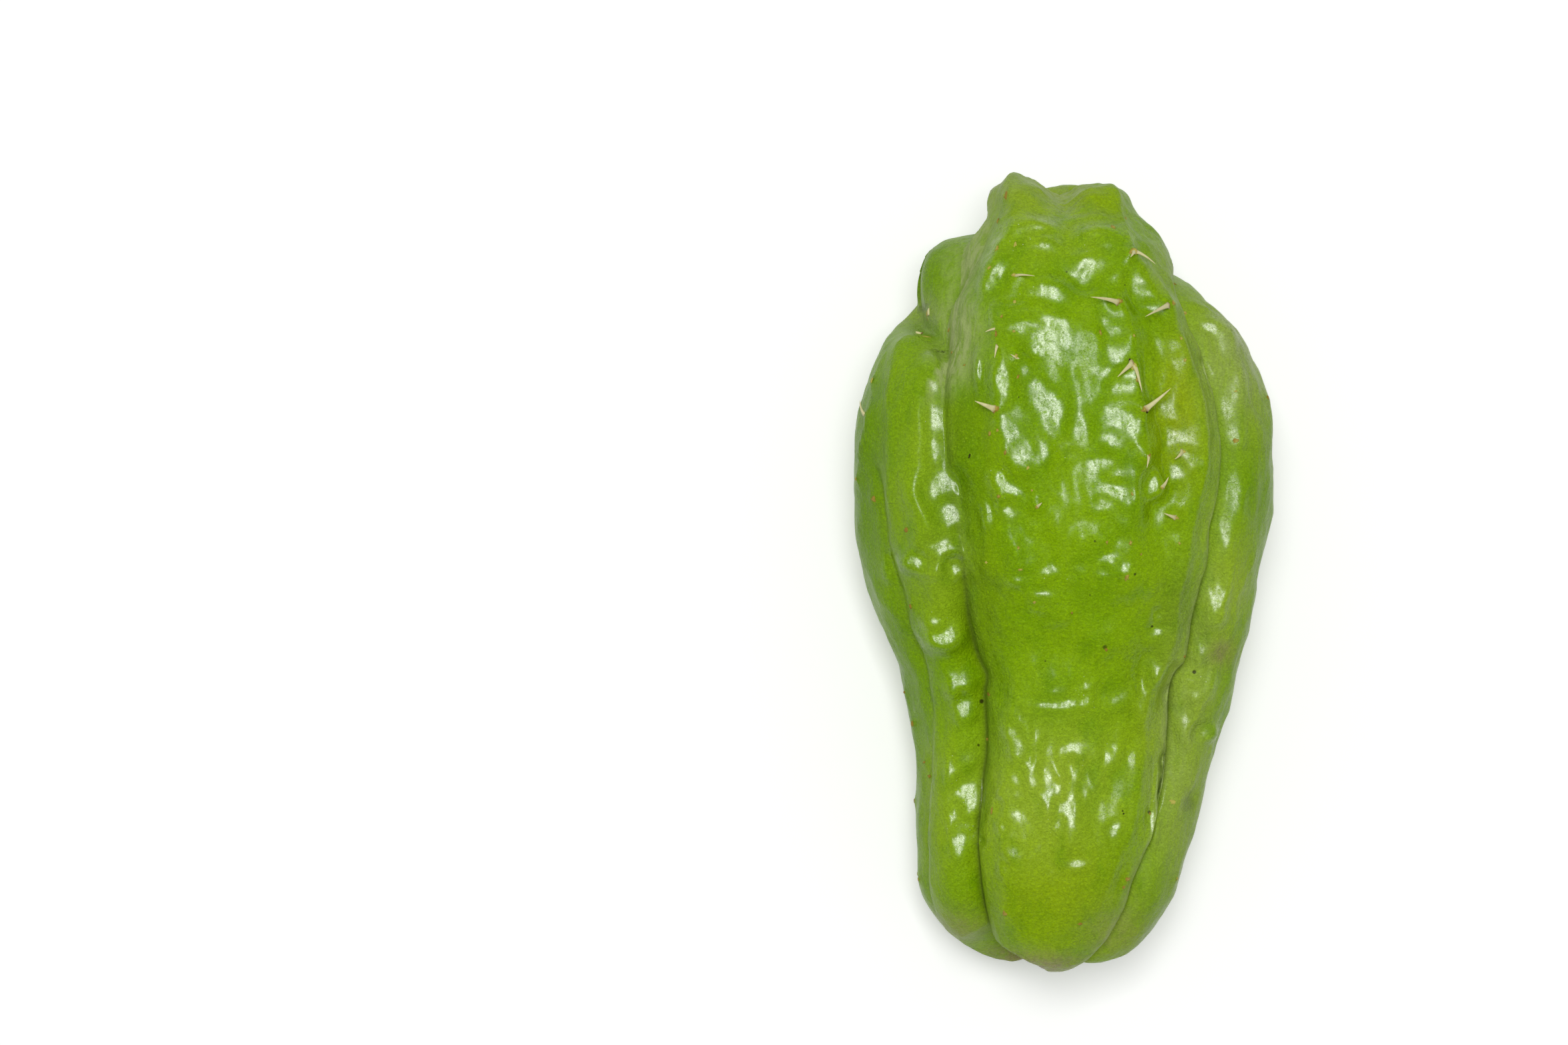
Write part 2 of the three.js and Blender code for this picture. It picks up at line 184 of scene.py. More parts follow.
def makeStudio():
    scene = bpy.context.scene
    scene.view_settings.view_transform = "Standard"
    camera = bpy.data.cameras.new("camera")
    camera.lens = studio["lens"]
    camera.sensor_width = studio["sensor"]
    camera.clip_start = 0.01
    camera.clip_end = 50.0
    eye = bpy.data.objects.new("camera", camera)
    eye.location = Vector(studio["eye"]) * metre  # an unturned camera looks straight down
    scene.collection.objects.link(eye)
    scene.camera = eye

    light = bpy.data.lights.new("lamp", "AREA")
    light.shape = "RECTANGLE"
    light.size, light.size_y = (side * metre for side in studio["lampSize"])
    light.energy = studio["lampPower"]
    lamp = bpy.data.objects.new("lamp", light)
    lamp.location = Vector(studio["lamp"]) * metre
    aim = Vector(studio["lampAim"]) * metre - lamp.location
    lamp.rotation_euler = aim.to_track_quat("-Z", "Y").to_euler()
    scene.collection.objects.link(lamp)

    # the room: white as a backdrop, dimmer overhead where the skin mirrors it
    world = bpy.data.worlds.new("room")
    world.use_nodes = True
    world.node_tree.nodes.clear()
    scene.world = world
    wire = Wire(world.node_tree)
    height = wire.node("SeparateXYZ", sockets={0: wire.node("TexCoord")}, give="Z")
    room = height.between(*studio["roomFade"], studio["horizon"], studio["overhead"])
    bright = studio["ambient"] + (room - studio["ambient"]) * seenShare(wire)
    background = wire.node("Background", sockets={"Color": (1, 1, 1, 1), "Strength": bright})
    wire.node("OutputWorld", sockets={"Surface": background})

    half = studio["floorSize"] / 2 * metre
    level = cadBox[0][2] - studio["floorDrop"] * metre
    mesh = bpy.data.meshes.new("floor")
    corners = [(-half, -half, level), (half, -half, level), (half, half, level), (-half, half, level)]
    mesh.from_pydata(corners, [], [(0, 1, 2, 3)])
    floor = bpy.data.objects.new("floor", mesh)
    scene.collection.objects.link(floor)
    material, wire = newMaterial("paleFloor")
    away = wire.node("TexCoord", give="Object").awayFrom((0.0, 0.0, 0.0))
    glowing = away.between(*(reach * metre for reach in studio["glowFade"]), *studio["floorGlow"])
    tone = studio["floorColour"]
    matt = wire.node("BsdfDiffuse", sockets={"Color": (tone, tone, tone, 1)})
    glow = wire.node("Emission", sockets={"Strength": seenShare(wire) * glowing})
    finishMaterial(wire, wire.node("AddShader", sockets={0: matt, 1: glow}))
    mesh.materials.append(material)
    print("camera, lamp, room and floor made")


makeStudio()

# The body: a lopsided pear, its reach given at stations along it, with furrows between the lobes
body = {
    "blossomEnd": 73.8,
    "stemEnd": -76.8,
    "squareness": (2.2, 2.5),  # of the cross-section above and below the core, 2 being an ellipse
    # y, reach to the left, to the right, upwards and downwards of the core, core height
    "stations": [
        (72, 12.4, 10.2, 12.5, 10.5, 35), (67.5, 15.4, 12.8, 18, 17, 35.5),
        (60, 20.4, 20.2, 24, 25, 35.5), (50, 29.4, 27.8, 28.5, 30, 34.5),
        (35, 37, 37.2, 31.5, 33.5, 34), (18, 39.2, 39, 32.5, 33.6, 33),
        (0, 37, 36.8, 30.5, 31.6, 31.5), (-18, 30.4, 33.2, 25.8, 28.8, 28.8),
        (-35, 27.4, 28.2, 25.2, 26.8, 26.4), (-50, 27.2, 24.2, 26.6, 25.8, 25),
        (-62, 25.4, 20.6, 23.4, 22, 25), (-70, 17.6, 15.4, 17, 15, 26),
        (-74, 11, 9.6, 11.5, 10, 26.5),
    ],
    # each with its path as y, turn and depth, from the blossom end on; then, for some y, how far its
    # flank of smaller turns reaches, how far that of larger turns, and the rounding at its bottom
    "furrows": {
        "left": (
            [(50.2, -96, 3.4), (49.2, -88, 4.9), (48.3, -77, 5.8), (47.4, -67.5, 6.2),
             (45.6, -59.5, 6.2), (43.2, -53.5, 5.8), (40.5, -48.8, 5), (35, -46.5, 4.3),
             (30.8, -45.5, 3.9), (24, -44, 3.9), (18, -42.5, 4), (12.8, -40.5, 4), (7.4, -39.5, 4.1),
             (-2, -39.5, 4.5), (-9.8, -41, 4.8), (-14, -41, 5), (-16.8, -39.8, 5), (-19.4, -37.5, 5),
             (-23, -39.3, 4.8), (-31.6, -39.4, 4.6), (-37, -41.5, 4.6), (-45, -43, 4.6),
             (-56, -43, 4.8), (-62, -44.5, 4.8), (-67, -50, 4.8), (-69.5, -57, 4.8),
             (-71.5, -68, 4.6), (-73.5, -80, 4.4), (-76, -96, 4)],
            [(40, 2.4, 7, 0.6), (28, 1.9, 9.5, 0.5), (10, 1.9, 9.5, 0.5), (-4, 2.2, 6, 0.5),
             (-14, 2.4, 4.2, 0.5), (-30, 2.6, 3.2, 0.5)]),
        "shoulder": (
            [(73.7, -104, 2.6), (71, -110, 3), (67.5, -108, 3.6), (65.5, -97, 4.2), (63.8, -86, 4.6),
             (61.5, -76, 4.9), (58.5, -68, 5.2), (55.8, -63, 5.4), (52.5, -61.3, 5.2), (49, -58.5, 5),
             (46, -54.5, 4.6), (43, -49.5, 3.4)], [(0, 3.4, 4.4, 2.8)]),
        "right": (
            [(73.7, 100, 2.6), (70, 104, 3), (65, 107, 3.2), (60.5, 100, 3.2), (58.3, 86, 3.2),
             (56.6, 72, 3.6), (54.6, 59, 4.2), (52.2, 51.5, 4.6), (47.6, 50.5, 4.8), (41.7, 51.5, 5.2),
             (35.8, 52.5, 6), (30, 53, 6.3), (24.8, 53.5, 6.5), (19.5, 53.5, 6.5), (15, 52.5, 6.3),
             (9.4, 50.8, 6), (4.7, 50.4, 5.6), (-3.8, 49.6, 5.2), (-8.3, 49.2, 5), (-13, 50, 5),
             (-16.9, 49.6, 5), (-19.9, 46.4, 5), (-27.6, 47.6, 4.8), (-35.4, 48.8, 4.4),
             (-41.2, 45.6, 4.2), (-46, 43, 4.2), (-50.5, 40.6, 4.2), (-56.6, 35.4, 4.2),
             (-61.2, 34.6, 4.2), (-66.5, 32, 4.2), (-69.5, 29.5, 4.2), (-73, 24, 4.2), (-76, 10, 4)],
            [(0, 2.6, 3.4, 0.5)]),
        "rightUnder": (
            [(69, 124, 2.5), (63, 115, 3.6), (56, 111, 4.4), (45, 112, 4.6), (30, 115, 4.4),
             (14, 112, 4.6), (-4, 113, 4.2), (-20, 109, 4.2), (-36, 113, 4), (-50, 118, 4),
             (-64, 119, 4.2), (-72, 120, 4.2), (-76, 122, 4)], [(0, 4, 7, 0.6)]),
        "under": (
            [(71, 172, 3), (64, 174, 3.8), (54, 177, 3.8), (40, 181, 3.6), (24, 179, 3.4),
             (6, 181, 3.4), (-12, 178, 3.6), (-28, 180, 3.6), (-44, 177, 3.8), (-60, 180, 4),
             (-71, 184, 4.2), (-76, 188, 4)], [(0, 4.5, 4.5, 0.6)]),
        "leftUnder": (
            [(68, -124, 2.5), (61, -118, 3.6), (53, -114, 4.2), (40, -117, 4.6), (26, -122, 4.6),
             (10, -119, 4.4), (-6, -121, 4.2), (-22, -117, 4.2), (-40, -120, 4), (-56, -123, 4.2),
             (-66, -126, 4.2), (-72, -130, 4.2), (-76, -138, 4)], [(0, 7, 4, 0.6)]),
    },
    "folds": {
        "leftFold": (
            [(24, -70, 0), (19, -67, 1.2), (14.2, -65, 1.8), (8, -64.5, 2.2), (1.5, -63.5, 2.4),
             (-6, -64, 2.4), (-13.5, -63.5, 2.4), (-21, -63.5, 2.2), (-28, -64, 1.8), (-38, -69, 1.6),
             (-52, -71, 1.4), (-61, -76, 1.1), (-67, -84, 0)], [(0, 4.5, 1.6, 0.4)]),
        "median": (
            [(73.7, -4, 2.8), (72, -3, 3.8), (69, -2, 3.2), (65, -1, 2), (58, 1, 1.4), (48, 1, 1.2),
             (36, 0, 1.1), (20, 1, 0.8), (5, 2, 0)], [(0, 5, 5, 3)]),
    },
    "ridges": {
        "leftLip": (
            [(73.4, -62, 1.4), (72, -48, 2.2), (70, -38, 2.4), (67.5, -32, 2.4), (64, -28, 2.3),
             (61, -27, 2.2), (56.8, -29.5, 2.1), (51.5, -33, 1.8), (47.5, -36, 1.2), (42, -39, 0)],
            [(0, 5.5, 4.5, 0.6)]),
        "rightLip": (
            [(73.6, 52, 0.2), (72.3, 42, 0.7), (69, 34, 1.4), (65.5, 29, 1.7), (62, 24.5, 1.6),
             (58.5, 22, 1.5), (56.3, 24, 1.4), (54.5, 29, 1.3), (52, 33, 1), (49, 38, 0.4)],
            [(0, 4.5, 2.4, 0.8)]),
    },
    # y, turn, height, reach along and around, and how softly the edge runs out
    "swellings": [(59, -90, 5.2, 9.4, 15.5, 1.4), (45, 72, 1.2, 8, 9, 1.4), (-68, -18, 0.8, 14, 11, 1.4),
                  (-46, 163, 0.6, 16, 10, 1.4), (-73, -60, -3.3, 8, 10, 1), (-70, 62, -1.1, 12, 12, 1)],
    "stemCavity": (7.5, 7.5),  # radius and depth
    "narrowing": (1.7, 0.4),   # how soon the flanks narrow towards the ends, and how far
    "restingDepth": 0.7,       # how much its own weight flattens it
    "measuredAt": 30.0,        # height of the widest outline, where places seen from above are read
}
middle = (body["blossomEnd"] + body["stemEnd"]) / 2
halfLength = (body["blossomEnd"] - body["stemEnd"]) / 2


# 0 at the blossom end, pi at the stem end
def latitude(y):
    return np.arccos(np.clip((np.asarray(y, float) - middle) / halfLength, -1, 1))


# A smooth curve through values at rising places
def throughPoints(places, values):
    slopes = np.gradient(values, places)

    def curve(place):
        i = np.clip(np.searchsorted(places, place) - 1, 0, len(places) - 2)
        step = places[i + 1] - places[i]
        t = np.clip((place - places[i]) / step, 0, 1)
        ends = (2 * t**3 - 3 * t**2 + 1) * values[i] + (3 * t**2 - 2 * t**3) * values[i + 1]
        return ends + step * ((t**3 - 2 * t**2 + t) * slopes[i] + (t**3 - t**2) * slopes[i + 1])

    return curve


stations = np.array(body["stations"], float)
stationLatitudes = latitude(stations[:, 0])
girths = [throughPoints(stationLatitudes, stations[:, k] / np.sin(stationLatitudes))
          for k in (1, 2, 3, 4)]
coreHeight = throughPoints(stationLatitudes, stations[:, 5])


def bodyPoints(phi, turn):
    phi, turn = np.broadcast_arrays(np.asarray(phi, float), np.asarray(turn, float))
    size = np.maximum(np.sin(phi), 1e-6)
    left, right, up, down = (girth(phi) * size for girth in girths)
    sideways = np.sin(turn)
    upwards = np.cos(turn)
    wide = np.where(sideways >= 0, right, left)
    tall = np.where(upwards >= 0, up, down)
    power = np.where(upwards >= 0, *body["squareness"])
    radius = (np.abs(sideways / wide) ** power + np.abs(upwards / tall) ** power) ** (-1 / power)
    return np.stack([radius * sideways, middle + halfLength * np.cos(phi),
                     coreHeight(phi) + radius * upwards], -1)


def bodyNormals(phi, turn):
    step = 1e-3
    safe = np.clip(phi, 2 * step, np.pi - 2 * step)
    along = bodyPoints(safe + step, turn) - bodyPoints(safe - step, turn)
    around = bodyPoints(safe, turn + step) - bodyPoints(safe, turn - step)
    normals = np.cross(along, around)
    return normals / np.linalg.norm(normals, axis=-1, keepdims=True)


# More points on a path, along a curve through the given ones
def smoothPath(points, steps=8):
    points = np.array(points, float)
    ends = np.vstack([2 * points[0] - points[1], points, 2 * points[-1] - points[-2]])
    path = []
    for a, b, c, d in zip(ends[:-3], ends[1:-2], ends[2:-1], ends[3:]):
        for t in np.arange(steps) / steps:
            bend = (2 * a - 5 * b + 4 * c - d) * t**2 + (3 * b - a - 3 * c + d) * t**3
            path.append((2 * b + (c - a) * t + bend) / 2)
    return np.array(path + [points[-1]])


def turnAlong(path, y):
    return np.interp(-y, -path[:, 0], path[:, 1])


# A feature's path, the line that it takes on the body, and the reach of its flanks
def traced(feature):
    path = smoothPath(feature[0])
    line = bodyPoints(latitude(path[:, 0]), np.radians(path[:, 1]))
    return path, line, np.array(feature[1], float)


tracedFurrows = {name: traced(feature) for name, feature in body["furrows"].items()}
tracedFolds = [traced(feature) for feature in body["folds"].values()]
tracedRidges = [traced(feature) for feature in body["ridges"].values()]


# How deep or high a traced feature is at points of the body, how far away it is, and on which side
def strength(feature, points, turn):
    path, line, reach = feature
    distance = np.full(len(points), 1e9)
    depth = np.zeros(len(points))
    for i in range(len(line) - 1):
        step = line[i + 1] - line[i]
        share = np.clip((points - line[i]) @ step / (step @ step), 0, 1)
        away = np.linalg.norm(points - line[i] - share[:, None] * step, axis=1)
        nearer = away < distance
        distance[nearer] = away[nearer]
        depth[nearer] = (path[i, 2] + share * (path[i + 1, 2] - path[i, 2]))[nearer]
    past = (np.degrees(turn) - turnAlong(path, points[:, 1]) + 180) % 360 - 180
    fromEnds = np.sqrt(np.clip(1 - ((points[:, 1] - middle) / halfLength) ** 2, 0, 1))
    soon, far = body["narrowing"]
    smaller, larger, rounding = (np.interp(-points[:, 1], -reach[:, 0], reach[:, k]) for k in (1, 2, 3))
    width = np.where(past >= 0, larger, smaller) * np.clip(soon * fromEnds, far, 1)
    flank = np.sqrt(distance**2 + rounding**2) - rounding
    return depth * np.exp(-flank / width), distance, np.sign(past)


# The latitude and turn of the spot that shows at x, y when the fruit is seen from the camera
def spotAt(x, y):
    eyeX, eyeY, eyeZ = studio["eye"]
    turns = np.radians(np.linspace(-89, 89, 357))
    height = 60.0  # a first guess, bettered in each round
    for _ in range(6):
        share = (eyeZ - height) / (eyeZ - body["measuredAt"])
        phi = latitude(eyeY + (y - eyeY) * share)
        turn = np.interp(eyeX + (x - eyeX) * share, bodyPoints(phi, turns)[:, 0], turns)
        height = bodyPoints(phi, turn)[2]
    return float(phi), float(turn)


# Waves of noise over the points: the size of a wave, its height, and a shift that makes it its own
def waves(points, size, height, shift):
    places = (points / np.array(size) + shift).tolist()
    return height * np.fromiter((noise.noise(place) for place in places), float, len(places))


# What the skin carries between the furrows. Places are x, y as seen from above
relief = {
    # the knobbly tops, flattened and glossy: x, y, reach across, reach along, how flat
    "facets": [
        (-5.5, 64.8, 3.6, 1.8, 0.8), (-3.5, 62, 2.5, 1.4, 0.8), (7, 63.4, 3.2, 1.8, 0.7),
        (8.3, 61.4, 2.1, 1.4, 0.6), (-11, 60.8, 1.4, 2.1, 0.7), (4.2, 57, 2.3, 2.9, 0.9),
        (7, 58.3, 1.8, 1.8, 0.6), (-11.6, 57.3, 2.1, 2.3, 0.8), (-13.6, 54.2, 1.4, 1.8, 0.8),
        (-8.6, 54, 1.2, 2.3, 0.7), (-2.6, 53.6, 2.9, 1.7, 0.8), (-1, 52.2, 2.1, 1.4, 0.7),
        (-10.3, 51.2, 1.7, 1.4, 0.7), (10.2, 55.6, 1.4, 1.4, 0.6), (14.5, 54.2, 1.8, 3.1, 0.9),
        (16, 51.8, 2.1, 2, 0.8), (17.6, 50.2, 2.2, 1, 0.7), (-14, 49.6, 1.6, 2.2, 0.8),
        (-12, 48.6, 1.2, 2.1, 0.7), (-7.5, 49.4, 3.1, 1.3, 0.7), (-3, 47.4, 4.2, 1.4, 0.8),
        (-7.5, 46.6, 2.9, 1.4, 0.7), (-3, 44.4, 3.1, 1.4, 0.8), (-2.6, 42.2, 3.2, 1.4, 0.8),
        (-1, 40.8, 1.8, 1.3, 0.7), (1.2, 44, 1.3, 3.1, 0.7), (9, 47.6, 1.8, 1.8, 0.8),
        (10.2, 44.4, 1.7, 2.5, 0.8), (10.6, 41, 2.2, 2.5, 0.8), (8, 38.2, 1.9, 0.9, 0.6),
        (12.6, 37.4, 1.7, 1.3, 0.8), (12, 35.2, 2.1, 1.1, 0.8), (-15.3, 38.6, 0.8, 2.8, 0.8),
        (-11.3, 37, 1.3, 3.2, 0.9), (-7, 38, 1.3, 1.9, 0.7), (-4.8, 35, 1.8, 1.7, 0.9),
        (-3, 32.6, 2.5, 1.7, 0.9), (-1.4, 30.2, 1.9, 1.5, 0.8), (-2, 27.4, 1.1, 1.3, 0.6),
        (16.6, 37.6, 1.1, 3.2, 0.7), (20.7, 32, 1, 3.7, 0.8), (18.4, 31, 0.9, 1.7, 0.7),
        (20.2, 27, 1.1, 1.4, 0.7), (3.2, 29.2, 1.2, 2.4, 0.7), (4.6, 33, 1.2, 1, 0.5),
        (8.6, 31.2, 1.6, 1.3, 0.6), (11.4, 29.4, 2.7, 1.8, 0.9), (12.6, 26.8, 2.2, 1.5, 0.9),
        (9.6, 25.4, 1.9, 1.5, 0.8), (-10.5, 28.6, 1.4, 1.6, 0.8), (-9, 25.6, 1.3, 1.7, 0.9),
        (-7.8, 23, 1.5, 1.9, 0.9), (-3.3, 23.4, 1.1, 1.9, 0.8), (0.8, 24, 1.4, 1.1, 0.7),
        (1.8, 22.6, 1.3, 0.9, 0.6), (22, 24.2, 1.8, 1.7, 0.8), (22.8, 21.6, 2.4, 2, 0.8),
        (13.4, 23.2, 1.4, 0.9, 0.6), (6.6, 22.8, 1.2, 1.3, 0.6), (26.4, 45.9, 1.8, 1.4, 0.8),
        (28, 42.4, 1.8, 3.3, 0.7), (28.2, 38.8, 1.8, 2, 0.7), (31.2, 30, 1.4, 2.8, 0.7),
        (31.8, 26.4, 1.5, 2.2, 0.7), (-11.7, 18.3, 1.4, 1.5, 0.9), (-9.8, 15.4, 1.8, 2.2, 0.9),
        (-9.8, 12.4, 1.6, 1.5, 0.8), (-13.8, 12, 1, 2.2, 0.8), (0.3, 16, 0.8, 1, 0.6),
        (6.2, 20.4, 1.5, 1.5, 0.8), (8.6, 21.4, 1.3, 1.1, 0.7), (12.6, 18.6, 2.6, 1.7, 0.9),
        (10.6, 15.6, 2.5, 1.7, 0.9), (8, 13.4, 1.5, 1.2, 0.8), (17, 16.8, 1.6, 2.2, 0.9),
        (21.4, 19.6, 1.6, 1.7, 0.8), (17.6, 11, 1, 2.4, 0.7), (12, 10, 0.9, 1.2, 0.6),
        (11.4, 5.4, 1.3, 1.6, 0.8), (9.6, 2.9, 1.9, 1.4, 0.9), (12.1, 1.2, 1.4, 1.3, 0.8),
        (7.8, 0.4, 1.4, 1, 0.7), (3, 1, 1.2, 1.2, 0.8), (2, -0.3, 1.1, 0.9, 0.7),
        (-2.2, 0.8, 1.3, 0.9, 0.8), (-5.6, 2.8, 1.4, 1.1, 0.5), (-8, -0.8, 1.5, 1, 0.8),
        (-6.4, -2.2, 1, 0.8, 0.6), (-3.3, -3.8, 1.7, 1.4, 0.9), (-3.9, -5.8, 1.3, 0.9, 0.7),
        (28.6, -1, 1.4, 2.7, 0.9), (29, -7.8, 1.7, 1.7, 0.7), (18, -8.5, 1, 1.7, 0.8),
        (18, -10.4, 1.3, 1.2, 0.8), (26.4, -14, 1.4, 2, 0.9), (16.5, -17.5, 2.1, 2.5, 0.8),
        (15, -19.4, 1.7, 2.1, 0.7), (15.2, -22.6, 1.1, 4.3, 0.7), (4.5, -20.5, 1.2, 0.9, 0.7),
        (-0.4, -22, 1.2, 1.2, 0.8), (0.3, -24, 1.6, 1.2, 0.9), (-2.4, -24.3, 1.8, 1, 0.9),
        (4.7, -23.8, 1, 1.2, 0.8), (10.4, -22.8, 2.6, 1.8, 0.5), (-8, -25.6, 0.8, 1, 0.8),
        (-7.7, -27.6, 0.7, 1.8, 0.8), (-9, -29.5, 1.4, 1.3, 0.9), (-8.3, -32.4, 1.2, 2, 0.9),
        (-5, -32, 0.5, 2.9, 0.8), (24, -22.8, 3.2, 1.5, 0.8), (27, -29.5, 2.4, 1.4, 0.7),
        (2.2, -33, 1.8, 1.4, 0.7), (9, -33.4, 1.3, 2.2, 0.9), (12.6, -34.6, 0.9, 1.3, 0.6),
        (-2.4, -37.8, 2.1, 1.8, 0.95), (-1, -40.1, 1.6, 1.3, 0.9), (2, -36.8, 1, 2.1, 0.7),
        (1.8, -43.6, 1, 3.1, 0.95), (-1.8, -43.8, 1.6, 1.6, 0.8), (-1.6, -46.6, 1.8, 1.4, 0.8),
        (2, -47.2, 1.2, 1, 0.7), (-7.6, -39.6, 0.9, 1.2, 0.8), (-10.6, -40.6, 1.2, 1.2, 0.8),
        (-8.2, -41, 1, 0.9, 0.7), (-8.2, -45, 0.7, 0.7, 0.9), (-11, -47.2, 0.9, 0.9, 0.9),
        (-20.6, -36.6, 1, 2.2, 0.8), (-18.2, -34.4, 1.4, 1.3, 0.6), (-19.1, -42, 2.5, 3.1, 0.95),
        (-20.3, -46.4, 1, 3, 0.9), (-18, -46.8, 1.2, 1, 0.8), (-19.8, -50.4, 1.3, 2.5, 0.9),
        (9.4, -48, 1.2, 0.9, 0.8), (10.3, -46.9, 0.8, 0.8, 0.8), (17.2, -46.4, 1.1, 3.2, 0.8),
        (18.4, -39.6, 1.3, 3.9, 0.8), (20.4, -35.4, 0.9, 1.8, 0.8), (-10.7, -55, 0.9, 1.4, 0.6),
        (-16, -49.6, 0.7, 0.8, 0.6), (-23.2, 39, 1.1, 1.8, 0.9), (-23.2, 34.5, 1.3, 3, 0.9),
        (-24, 29, 1.4, 3.4, 0.9), (-24.2, 23.4, 1.3, 2.4, 0.9), (-23.2, 15.4, 3.2, 3.4, 0.95),
        (-22, 11, 2.4, 2.2, 0.9), (-20.6, 12.6, 1.4, 1.4, 0.8), (-22.6, 3.8, 3.6, 2.8, 0.95),
        (-27.4, 2.6, 2.2, 1.5, 0.9), (-20.4, 1.2, 1.5, 1.7, 0.9), (-32.4, 1.6, 0.8, 2.2, 0.9),
        (-21.8, -11, 3, 2.4, 0.95), (-24, -8.6, 1.6, 1.2, 0.8), (-19.2, -20.4, 1.8, 2.4, 0.95),
        (-18.4, -25, 1.6, 2.2, 0.95), (-2.6, -40, 1.1, 4.6, 0.9), (1.6, -43.6, 0.9, 4.4, 0.9),
        (-5.8, -37, 0.8, 3, 0.8), (4.8, -39, 0.8, 2.6, 0.8), (22.2, -27, 1.1, 3, 0.8),
        (19.4, -41.5, 0.9, 3.6, 0.8), (33, 14.5, 1.3, 3, 0.7), (31, 7.6, 1.1, 2.6, 0.7),
        (29.6, -4.4, 1.8, 3.4, 0.9), (31.6, 34.6, 1.4, 3.2, 0.8), (27.6, -19.4, 1.2, 2.4, 0.7),
        (-9, -52, 1.3, 1.4, 0.7), (3, -54, 1.6, 1.3, 0.7),
    ],
    "lean": (0.07, -0.07, 0.0011),  # how the facets rise across and along, and how that changes with y
    "facetEdge": (1.25, 1.9),       # how full a facet is inside, and how wide its edge lies
    "facetDepth": 5,                # how far below and above itself it flattens
    "facetRoom": (0.4, 1.8),        # how far from the right furrow they begin, and within what they rise
    # hollows: x, y, depth, reach
    "hollows": [
        (11.5, -0.5, 0.7, 1.3), (26.3, -18.7, 0.9, 0.9), (25, -41.5, 0.7, 2), (8.3, -13.5, 0.3, 0.8),
        (12, -16.5, 0.5, 2), (5, 28, 0.5, 2.2), (-3, 44, 0.5, 2.4), (4, 10, 0.4, 2.4),
        (-6, 6, 0.4, 2.6), (9, 49, 0.4, 2),
    ],
    # faint ribs and troughs of the lobes: x, y, height; reach to the left and right, and rounding
    "ribs": [
        ([(-10.5, 52, 0), (-11, 46, 1.2), (-11, 38, 1.5), (-11.2, 30, 1.5), (-11, 22, 1.3),
          (-10, 14, 1.3), (-9, 6, 1.1), (-8, -2, 0)], [(0, 3, 3, 1.2)]),
        ([(10, 60, 0.3), (11.5, 54, 1), (12.5, 48, 1.4), (13.2, 42, 1.6), (14.2, 34, 1.6),
          (15.5, 26, 1.6), (15, 18, 1.3), (13, 10, 1.2), (11.5, 1, 0.8), (11, -6, 0)], [(0, 3, 2, 1.2)]),
        ([(17, 54, 0), (16.6, 48, -1), (17.4, 40, -1.4), (19, 32, -1.5), (20, 24, -1.4), (19, 16, -1.2),
          (17.5, 8, -1), (16.5, 0, 0)], [(0, 2.2, 2.4, 1.2)]),
        ([(20.5, 50, 0.5), (21.5, 45, 1.2), (23.5, 40, 1.4), (25.5, 35, 1.5), (26.6, 29, 1.5),
          (26.4, 22, 1.4), (25.3, 14, 1.3), (23.6, 6, 1.2), (22.2, -2, 1.2), (21, -10, 1.2),
          (18.5, -18, 1), (16.3, -26, 1), (15, -36, 1), (13, -46, 0.8), (9.5, -56, 0.6), (5, -66, 0)],
         [(0, 3, 1.4, 0.6)]),
        ([(-8, -14, 0), (-9, -22, 1.1), (-9.3, -34, 1.4), (-10, -46, 1.4), (-9.5, -57, 1), (-8, -66, 0)],
         [(0, 2.4, 4.5, 1.4)]),
        ([(-24.5, 44, 0.4), (-25.2, 36, 0.8), (-25, 28, 0.5), (-24.4, 15, 1.6), (-24.8, 9, 0.8),
          (-24.2, 3, 1.6), (-23, -4, 0.8), (-22, -11, 1.5), (-20.4, -16, 0.7), (-19.6, -22, 1.4),
          (-20.2, -29, 0.8), (-20.2, -40, 1.4), (-20, -50, 1.3), (-19, -60, 0.7), (-17.5, -66, 0)],
         [(0, 5, 4, 3)]),
        ([(25, 51, 0.5), (28, 44, 1.2), (31, 37, 1.5), (33, 28, 1.5), (33.2, 18, 1.4), (31.5, 8, 1.5),
          (29.5, -2, 1.5), (27.6, -13, 1.5), (25.6, -24, 1.3), (23.6, -34, 1.3), (21, -46, 1.2),
          (17, -58, 0.8), (11, -67, 0)], [(0, 3, 4.5, 1.6)]),
        ([(-30.2, 46, 0.4), (-31.2, 41, 0.9), (-31.8, 30, 1), (-32, 20, 0.9), (-31.5, 14, 0.5),
          (-31, 8, 0)], [(0, 1.4, 2.6, 0.5)]),
        ([(-35.2, 35, 0.3), (-35.6, 29, 0.8), (-37, 24, 0.8), (-38, 18, 0.3)], [(0, 1.3, 2, 0.5)]),
    ],
    "hollowSpread": 0.6,
    "scabWart": (0.22, 0.25),  # height of the wart under a scab, and what its length adds
    "prickleWart": 0.5,
    "wartSpread": 2.2,
    # how far from a furrow's line the relief begins to grow, within what it is full, and its least share
    "furrowCalm": (0.3, 3.0, 0.25),
    "stemCalm": (-66, 24),     # the stem end is smoother: from which y it grows, and within what
    "flankCalm": (1.5, 0.65),  # and so are the flanks: the share at the top, and its loss with the turn
    "leastCalm": 0.45,
    "lumps": {"size": (8, 11, 8), "height": 1.2, "shift": 17.3},
    "dimples": {"size": (3.3, 6, 3.3), "height": 0.5, "shift": 34.6},
    "ripples": {"size": (1.7, 2.8, 1.7), "height": 0.22, "shift": 51.9},
    "strands": {"size": (1.5, 9, 1.5), "height": 1, "shift": 8.7},
    "bends": {"size": (14, 20, 14), "height": 3, "shift": 3.1},  # of the strands
    "strandHeight": (0.14, 0.35),  # and its share where there is no fuzz
}
